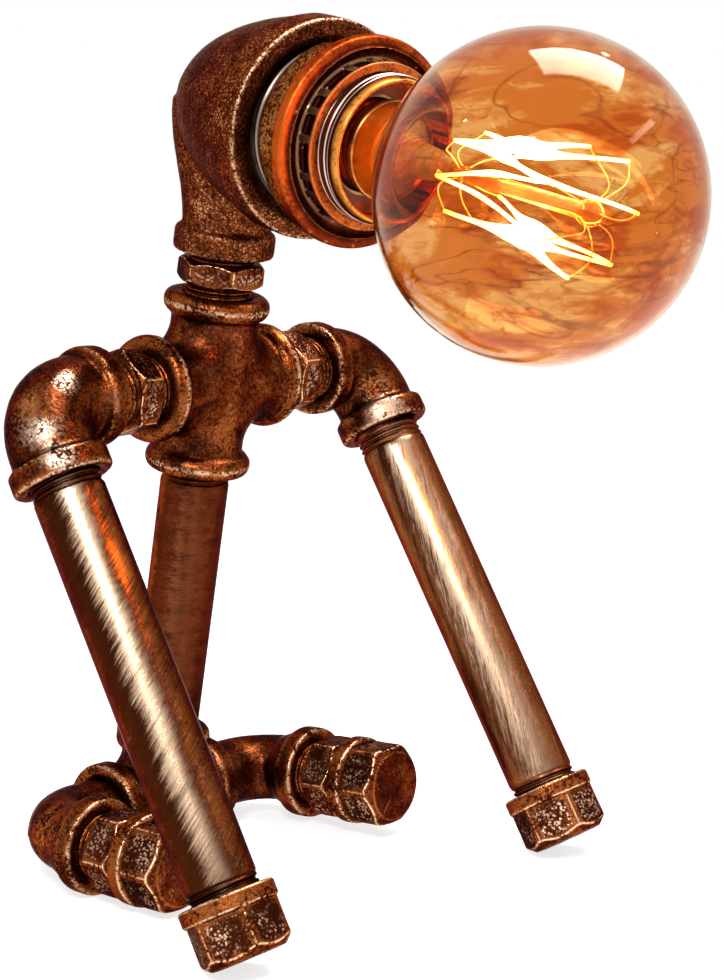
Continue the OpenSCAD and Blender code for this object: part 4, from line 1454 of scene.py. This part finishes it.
@dataclass
class Bulb:
    """Globe bulb: glass, screw cap, stem, wires and the glowing cage."""

    shop: Workshop
    neck_r: float = 13.7
    neck_blend: float = 15.0
    wall: float = 0.9
    strands: int = 14
    low_r: float = 12.0
    top_r: float = 17.0
    knots: tuple[tuple[float, float], ...] = ((95.0, 11.5), (295.0, 13.5))

    def build(self) -> None:
        """Makes and dresses the bulb."""
        for make in (self.envelope, self.screw_cap, self.glass_stem, self.cage, self.loops):
            make()
        self.shop.plain("bulb_cap_insulator", "black_glass")
        self.shop.plain("bulb_cap_contact", "solder")
        for made in bpy.data.objects:
            if made.name.startswith(("bulb_glass_", "bulb_stem_")):
                made.visible_shadow = False

    def outline(self, t: float) -> list[tuple[float, float]]:
        """Outline of the glass from neck to top, shrunk inwards.

        Args:
            t: The distance that it is shrunk by.

        Returns:
            (height, radius) pairs.
        """
        s = SIZES
        r, neck, blend = s.globe_r - t, self.neck_r - t, self.neck_blend + t
        blend_x = neck + blend
        blend_y = s.globe_at - math.sqrt((r + blend) ** 2 - blend_x ** 2)
        meet = math.atan2(s.globe_at - blend_y, blend_x)
        points = [(s.glass_start, neck), (s.glass_start + 1.5, neck), (blend_y, neck)]
        for k in range(1, 15):
            a = meet * k / 14
            points.append((blend_y + blend * math.sin(a), blend_x - blend * math.cos(a)))
        for k in range(1, 97):
            a = -meet + (math.pi / 2 + meet) * k / 96
            points.append((s.globe_at + r * math.sin(a), max(0.01, r * math.cos(a))))
        return points

    def envelope(self) -> None:
        """Makes the glass with its inside wall, one closed shell."""
        t = Turned(around=192)
        t.line(self.outline(0.0))
        t.line(list(reversed(self.outline(self.wall))))
        made = t.build("bulb_glass_blown", PLACES.holder, ring=True)
        self.shop.fit(made, "bulb", Slot.GLASS, "amber_glass", "bulb_glass")

    def screw_cap(self) -> None:
        """Makes the cap with its rolled thread."""
        s = SIZES
        t = Turned(around=144)
        start, rim = s.bulb_tip_at + 4.6, s.bulb_rim_at - 3.4
        t.line([(start, 12.4), (start + 0.5, 12.6)])
        t.thread(start + 0.8, rim - 1.2, 13.1, 1.0, 3.629, fade_in=1.0, fade_out=1.5, steps=12)
        t.line([(rim, 13.0), (rim + 0.6, 13.9), (rim + 1.2, 14.17), (s.bulb_rim_at, 14.17),
                (s.bulb_rim_at, 13.74), (rim + 1.0, 13.74), (rim - 0.5, 12.5)])
        t.line([(start + 0.8, 11.7), (start, 11.9)])
        made = t.build("bulb_cap_rolled", PLACES.holder, ring=True)
        self.shop.fit(made, "bulb", Slot.BULB_CAP, "cap_gold", "bulb_cap")

    def glass_stem(self) -> None:
        """Makes the flared foot, the rod and the button."""
        s = SIZES
        t = Turned(around=72)
        low = s.glass_start
        top = s.cage_low_at + s.cage_l
        foot = [(0.5, 12.7), (1.2, 12.75), (2.4, 12.0), (4.0, 9.6), (6.5, 7.4), (10, 6.0), (15, 5.0),
                (20, 4.4), (23, 3.6), (26, 2.3), (30, 2.1)]
        t.line([(low + z, r) for z, r in foot])
        t.line([(z, 2.1) for z in np.linspace(low + 32, top - 4.6, 8)])
        for k in range(1, 14):
            a = math.pi * k / 14
            t.row(top - 3.6 * math.cos(a), max(2.1 if k < 4 else 0.05, 3.5 * math.sin(a) ** 0.8))
        made = t.build("bulb_stem_drawn", PLACES.holder)
        self.shop.fit(made, "bulb", Slot.STEM, "stem_glass", "bulb_stem")

    def cage(self) -> None:
        """Makes the zigzag filament, each run a little slack."""
        lines, radii = [], []
        for i in range(self.strands - 1):
            a, b = self.hook(i, 1 - i % 2), self.hook(i + 1, i % 2)
            if i % 2:
                a, b = b, a
            share = np.linspace(0, 1, 25)[:, None]
            line = a + (b - a) * share
            bunch = 0.0
            for angle, r in self.knots:
                turned = math.radians(angle)
                pull = np.array([r * math.cos(turned), r * math.sin(turned), 0]) - (a + b) / 2 * (1, 1, 0)
                near = 0.85 * math.exp(-(np.linalg.norm(pull) / 12) ** 2)
                line = line + pull * np.sin(share ** 1.3 * math.pi) ** 1.5 * near
                bunch = max(bunch, near)
            slack = np.sin(share * math.pi) * 0.9 * np.array([math.cos(i * 2.1), math.sin(i * 2.1), 0])
            lines.append(line + slack)
            radii.append(0.45 + 2.6 * bunch * np.exp(-((share[:, 0] - 0.58) / 0.15) ** 2))
        made = tube("bulb_filament_cage", lines, radii, PLACES.holder)
        self.shop.fit(made, "bulb", Slot.FILAMENT, "hot_filament", "bulb_filament")

    def hook(self, i: int, ring: int) -> np.ndarray:
        """A point of the cage that a hook holds.

        Args:
            i: The hook's number round the cage.
            ring: 0 on the lower ring and 1 on the upper one.

        Returns:
            The point in the holder's frame, in millimetres.
        """
        a = TURN * i / self.strands
        r = self.top_r if ring else self.low_r
        return np.array([r * math.cos(a), r * math.sin(a), SIZES.cage_low_at + SIZES.cage_l * ring])

    def loops(self) -> None:
        """Makes the thin support wires, which loop from the stem to the hooks."""
        low = SIZES.cage_low_at
        top = low + SIZES.cage_l
        lines, radii = [], []
        for i in range(self.strands):
            ring = 1 - i % 2
            end = self.hook(i, ring)
            a = TURN * i / self.strands
            out = np.array([math.cos(a), math.sin(a), 0.0])
            root = out * (2.6 if ring else 1.6) + np.array([0, 0, top if ring else low - 4])
            lift = (6.5 if ring else -5.0) + 2.2 * math.sin(i * 1.9)
            t = np.linspace(0, 1, 15)[:, None]
            line = root * (1 - t) + end * t
            line = line + np.array([0, 0, lift]) * np.sin(t * math.pi) * (1 - t * 0.4)
            side = np.cross(out, (0, 0, 1))
            line = line + side * np.sin(t * TURN) * 0.9 * math.cos(i * 1.3)
            lines.append(line)
            radii.append(np.full(len(line), 0.2))
        made = tube("bulb_supports_looped", lines, radii, PLACES.holder, 6)
        self.shop.fit(made, "bulb", Slot.WIRE, "warm_wire", "bulb_supports")


# ---------------------------------------------------------------- camera, floor and light


@dataclass
class Studio:
    """Camera, floor, world and lamps."""

    target: tuple[float, float, float] = (57.7146, 58.705, 112.4969)
    distance: float = 768.5364
    azimuth: float = -50.5435
    elevation: float = 9.2867
    roll: float = 0.2399
    lens: float = 86.995
    shift_x: float = -0.004061
    shift_y: float = -0.002357
    ambient: float = 0.55
    floor_half: float = 6.0
    floor_glow: float = 0.74
    lit: tuple[float, float, float] = (-20.0, -40.0, 180.0)

    def build(self) -> None:
        """Makes the whole studio."""
        self.camera()
        self.floor()
        self.world()
        self.lamp("overhead_box", (234, -106, 856), (460, 340), 10.5, 63)
        self.lamp("front_box", (-659, -338, 695), (180, 200), 5.5)
        self.lamp("side_strip", (367, -706, 712), (440, 50), 0.6, 6)
        self.lamp("back_spark", (461, -14, 735), (26, 26), 0.12)
        self.lamp("left_spark", (-462, 236, 720), (26, 26), 0.12)

    def camera(self) -> None:
        """Makes the camera."""
        a, e, r = (math.radians(x) for x in (self.azimuth, self.elevation, self.roll))
        back = Vector((math.sin(a) * math.cos(e), -math.cos(a) * math.cos(e), math.sin(e)))
        right = (-back).cross(Vector((0, 0, 1))).normalized()
        up = right.cross(-back)
        x = right * math.cos(r) + up * math.sin(r)
        y = up * math.cos(r) - right * math.sin(r)
        data = bpy.data.cameras.new("camera")
        data.lens = self.lens
        data.sensor_width = 36.0
        data.shift_x, data.shift_y = self.shift_x, self.shift_y
        data.clip_start, data.clip_end = 0.05, 20.0
        made = bpy.data.objects.new("camera", data)
        at = (Vector(self.target) + back * self.distance) * MM
        made.matrix_world = Matrix.Translation(at) @ Matrix((x, y, back)).transposed().to_4x4()
        show(made)
        bpy.context.scene.camera = made

    def floor(self) -> None:
        """Makes the pale floor, which keeps the shadow."""
        p = Paint("floor_paint")
        matt = p.node("BsdfDiffuse", {}, {"Color": (0.5, 0.5, 0.5, 1.0)})
        white = p.node("Emission", {}, {"Color": (1, 1, 1, 1), "Strength": p.seen() * self.floor_glow})
        p.end(p.node("AddShader", {}, {0: matt, 1: white}))
        far = self.floor_half
        mesh = bpy.data.meshes.new("floor")
        mesh.from_pydata([(-far, -far, 0), (far, -far, 0), (far, far, 0), (-far, far, 0)],
                         [], [(0, 1, 2, 3)])
        mesh.materials.append(p.material)
        made = bpy.data.objects.new("floor", mesh)
        show(made)

    def world(self) -> None:
        """Makes the world: white where it is seen, dimmer where it only lights."""
        world = bpy.data.worlds.new("white_room")
        world.use_nodes = True
        tree = Tree(world.node_tree)
        level = tree.seen() * (1 - self.ambient) + self.ambient
        back = tree.node("Background", {}, {"Color": (1, 1, 1, 1), "Strength": level})
        tree.end(back, "OutputWorld")
        bpy.context.scene.world = world

    def lamp(self, name: str, at: Sequence[float], size: Sequence[float], power: float,
             roll: float = 0.0) -> None:
        """Makes one soft box that faces the lamp's head.

        Args:
            name: Its name.
            at: Its place in millimetres.
            size: Width and height in millimetres.
            power: Watts.
            roll: Degrees that it is turned about its own axis.
        """
        data = bpy.data.lights.new(name, "AREA")
        data.shape = "RECTANGLE"
        data.size, data.size_y = size[0] * MM, size[1] * MM
        data.energy = power
        made = bpy.data.objects.new(name, data)
        made.location = Vector(at) * MM
        made.rotation_mode = "QUATERNION"
        aim = (Vector(self.lit) - Vector(at)).to_track_quat("-Z", "Y")
        made.rotation_quaternion = aim @ Quaternion((0, 0, 1), math.radians(roll))
        show(made)


# ---------------------------------------------------------------- the lamp


# Colours of the painted sheen patches on the elbows.
BRIGHT: Colour = (0.88, 0.66, 0.48)
TAN: Colour = (0.36, 0.13, 0.045)

# Painted sheen: middles and reaches, in millimetres, of pale patches painted where light falls on the
# elbows.
ELBOW_PAINTED_SHEEN = (
    # right shoulder elbow: its top, bend, mouth and outside
    Rub((-67.9, 63.3, 159.2), 6, BRIGHT),
    Rub((-77.7, 63.4, 144.2), 7.5, BRIGHT),
    Rub((-81.4, 54.7, 139.6), 7.5, BRIGHT),
    Rub((-83.7, 67.2, 153.8), 9, TAN),
    # left shoulder elbow: its mouth and bend
    Rub((61.5, 54.4, 138.6), 9, BRIGHT),
    Rub((64.1, 60.3, 144.4), 7, TAN),
    # right hip elbow
    Rub((-53.4, 84.4, 17.2), 17, TAN),
)


def finishes() -> tuple[Finish, ...]:
    """Lists the finishes of all pieces.

    Returns:
        One finish for each material.
    """
    beads = Beads(PLACES.cross, PLACES.cross @ turn("Y", 90), SIZES.cross_bead_r,
                  SIZES.cross_face - SIZES.cross_bead_w)
    plain_edges = (0.8, 0.9)
    return (
        CastBronze("cast_bronze", rubs=ELBOW_PAINTED_SHEEN),
        CastBronze("chest_bronze", wear=(0.53, 0.56), beads=beads),
        CastBronze("nipple_bronze", body=(0.12, 0.024, 0.007), wear=plain_edges),
        CastBronze("cap_bronze", body=(0.085, 0.015, 0.004), depth=0.3, wear=plain_edges, collar=0.8),
        CastBronze("head_bronze", pit=(0.035, 0.007, 0.002), body=(0.15, 0.036, 0.01),
                   pale=(0.6, 0.27, 0.13), grain=0.55, depth=0.22, wear=(0.517, 0.545), collar=0.2,
                   rough=0.26, patchy=0.4, glint=0.68),
        BrushedPipe("brushed_pipe"),
        BrushedPipe("brushed_pipe_left", dark=(0.11, 0.03, 0.01), body=(0.22, 0.072, 0.026),
                    shade=0.0, spread=1.45, left=0.0, right=0.0),
        BrushedPipe("brushed_spine", dark=(0.05, 0.009, 0.003), body=(0.115, 0.024, 0.007),
                    pale=(0.24, 0.08, 0.033), tint=(0.42, 0.11, 0.027), rough=0.4, bare=0.25,
                    shade=0.2, left=0.7, right=0.0),
        PebbledBrass("pebbled_brass"),
        RingCopper("ring_copper"),
        SleeveCopper("sleeve_copper"),
        TurnedMetal("contact_brass", (0.62, 0.45, 0.2), (0.4, 0.26, 0.1), 0.28),
        TurnedMetal("cap_gold", (0.7, 0.36, 0.09), (0.2, 0.06, 0.015), 0.2, 3.0),
        TurnedMetal("solder", (0.6, 0.58, 0.54), (0.42, 0.4, 0.38), 0.35),
        Moulded("black_rubber", (0.03, 0.028, 0.026), (0.018, 0.017, 0.016), 0.65),
        Moulded("brown_resin", (0.36, 0.07, 0.014), (0.2, 0.035, 0.009), 0.35),
        Moulded("black_glass", (0.02, 0.02, 0.02), (0.012, 0.012, 0.012), 0.15),
        AmberGlass("amber_glass"),
        AmberGlass("stem_glass", (0.96, 0.72, 0.38), (0.9, 0.56, 0.22), (0.7, 0.3, 0.08), 0.9),
        Glow("hot_filament"),
        # Painted glow: the support wires glow though only the filament is hot.
        Glow("warm_wire", (1.0, 0.62, 0.14), (1.0, 0.4, 0.05), 1.6),
    )


def main() -> None:
    """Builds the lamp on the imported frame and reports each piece."""
    logging.basicConfig(level=logging.INFO, format="%(message)s")
    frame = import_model()
    bpy.context.scene.view_settings.view_transform = "Standard"
    Studio().build()
    shop = Workshop(frame, {finish.name: finish.build() for finish in finishes()})
    Torso(shop).build()
    for side in Side:
        Arm(shop, side).build()
        Leg(shop, side).build()
    Head(shop).build()
    Bulb(shop).build()


if __name__ == "__main__":
    main()
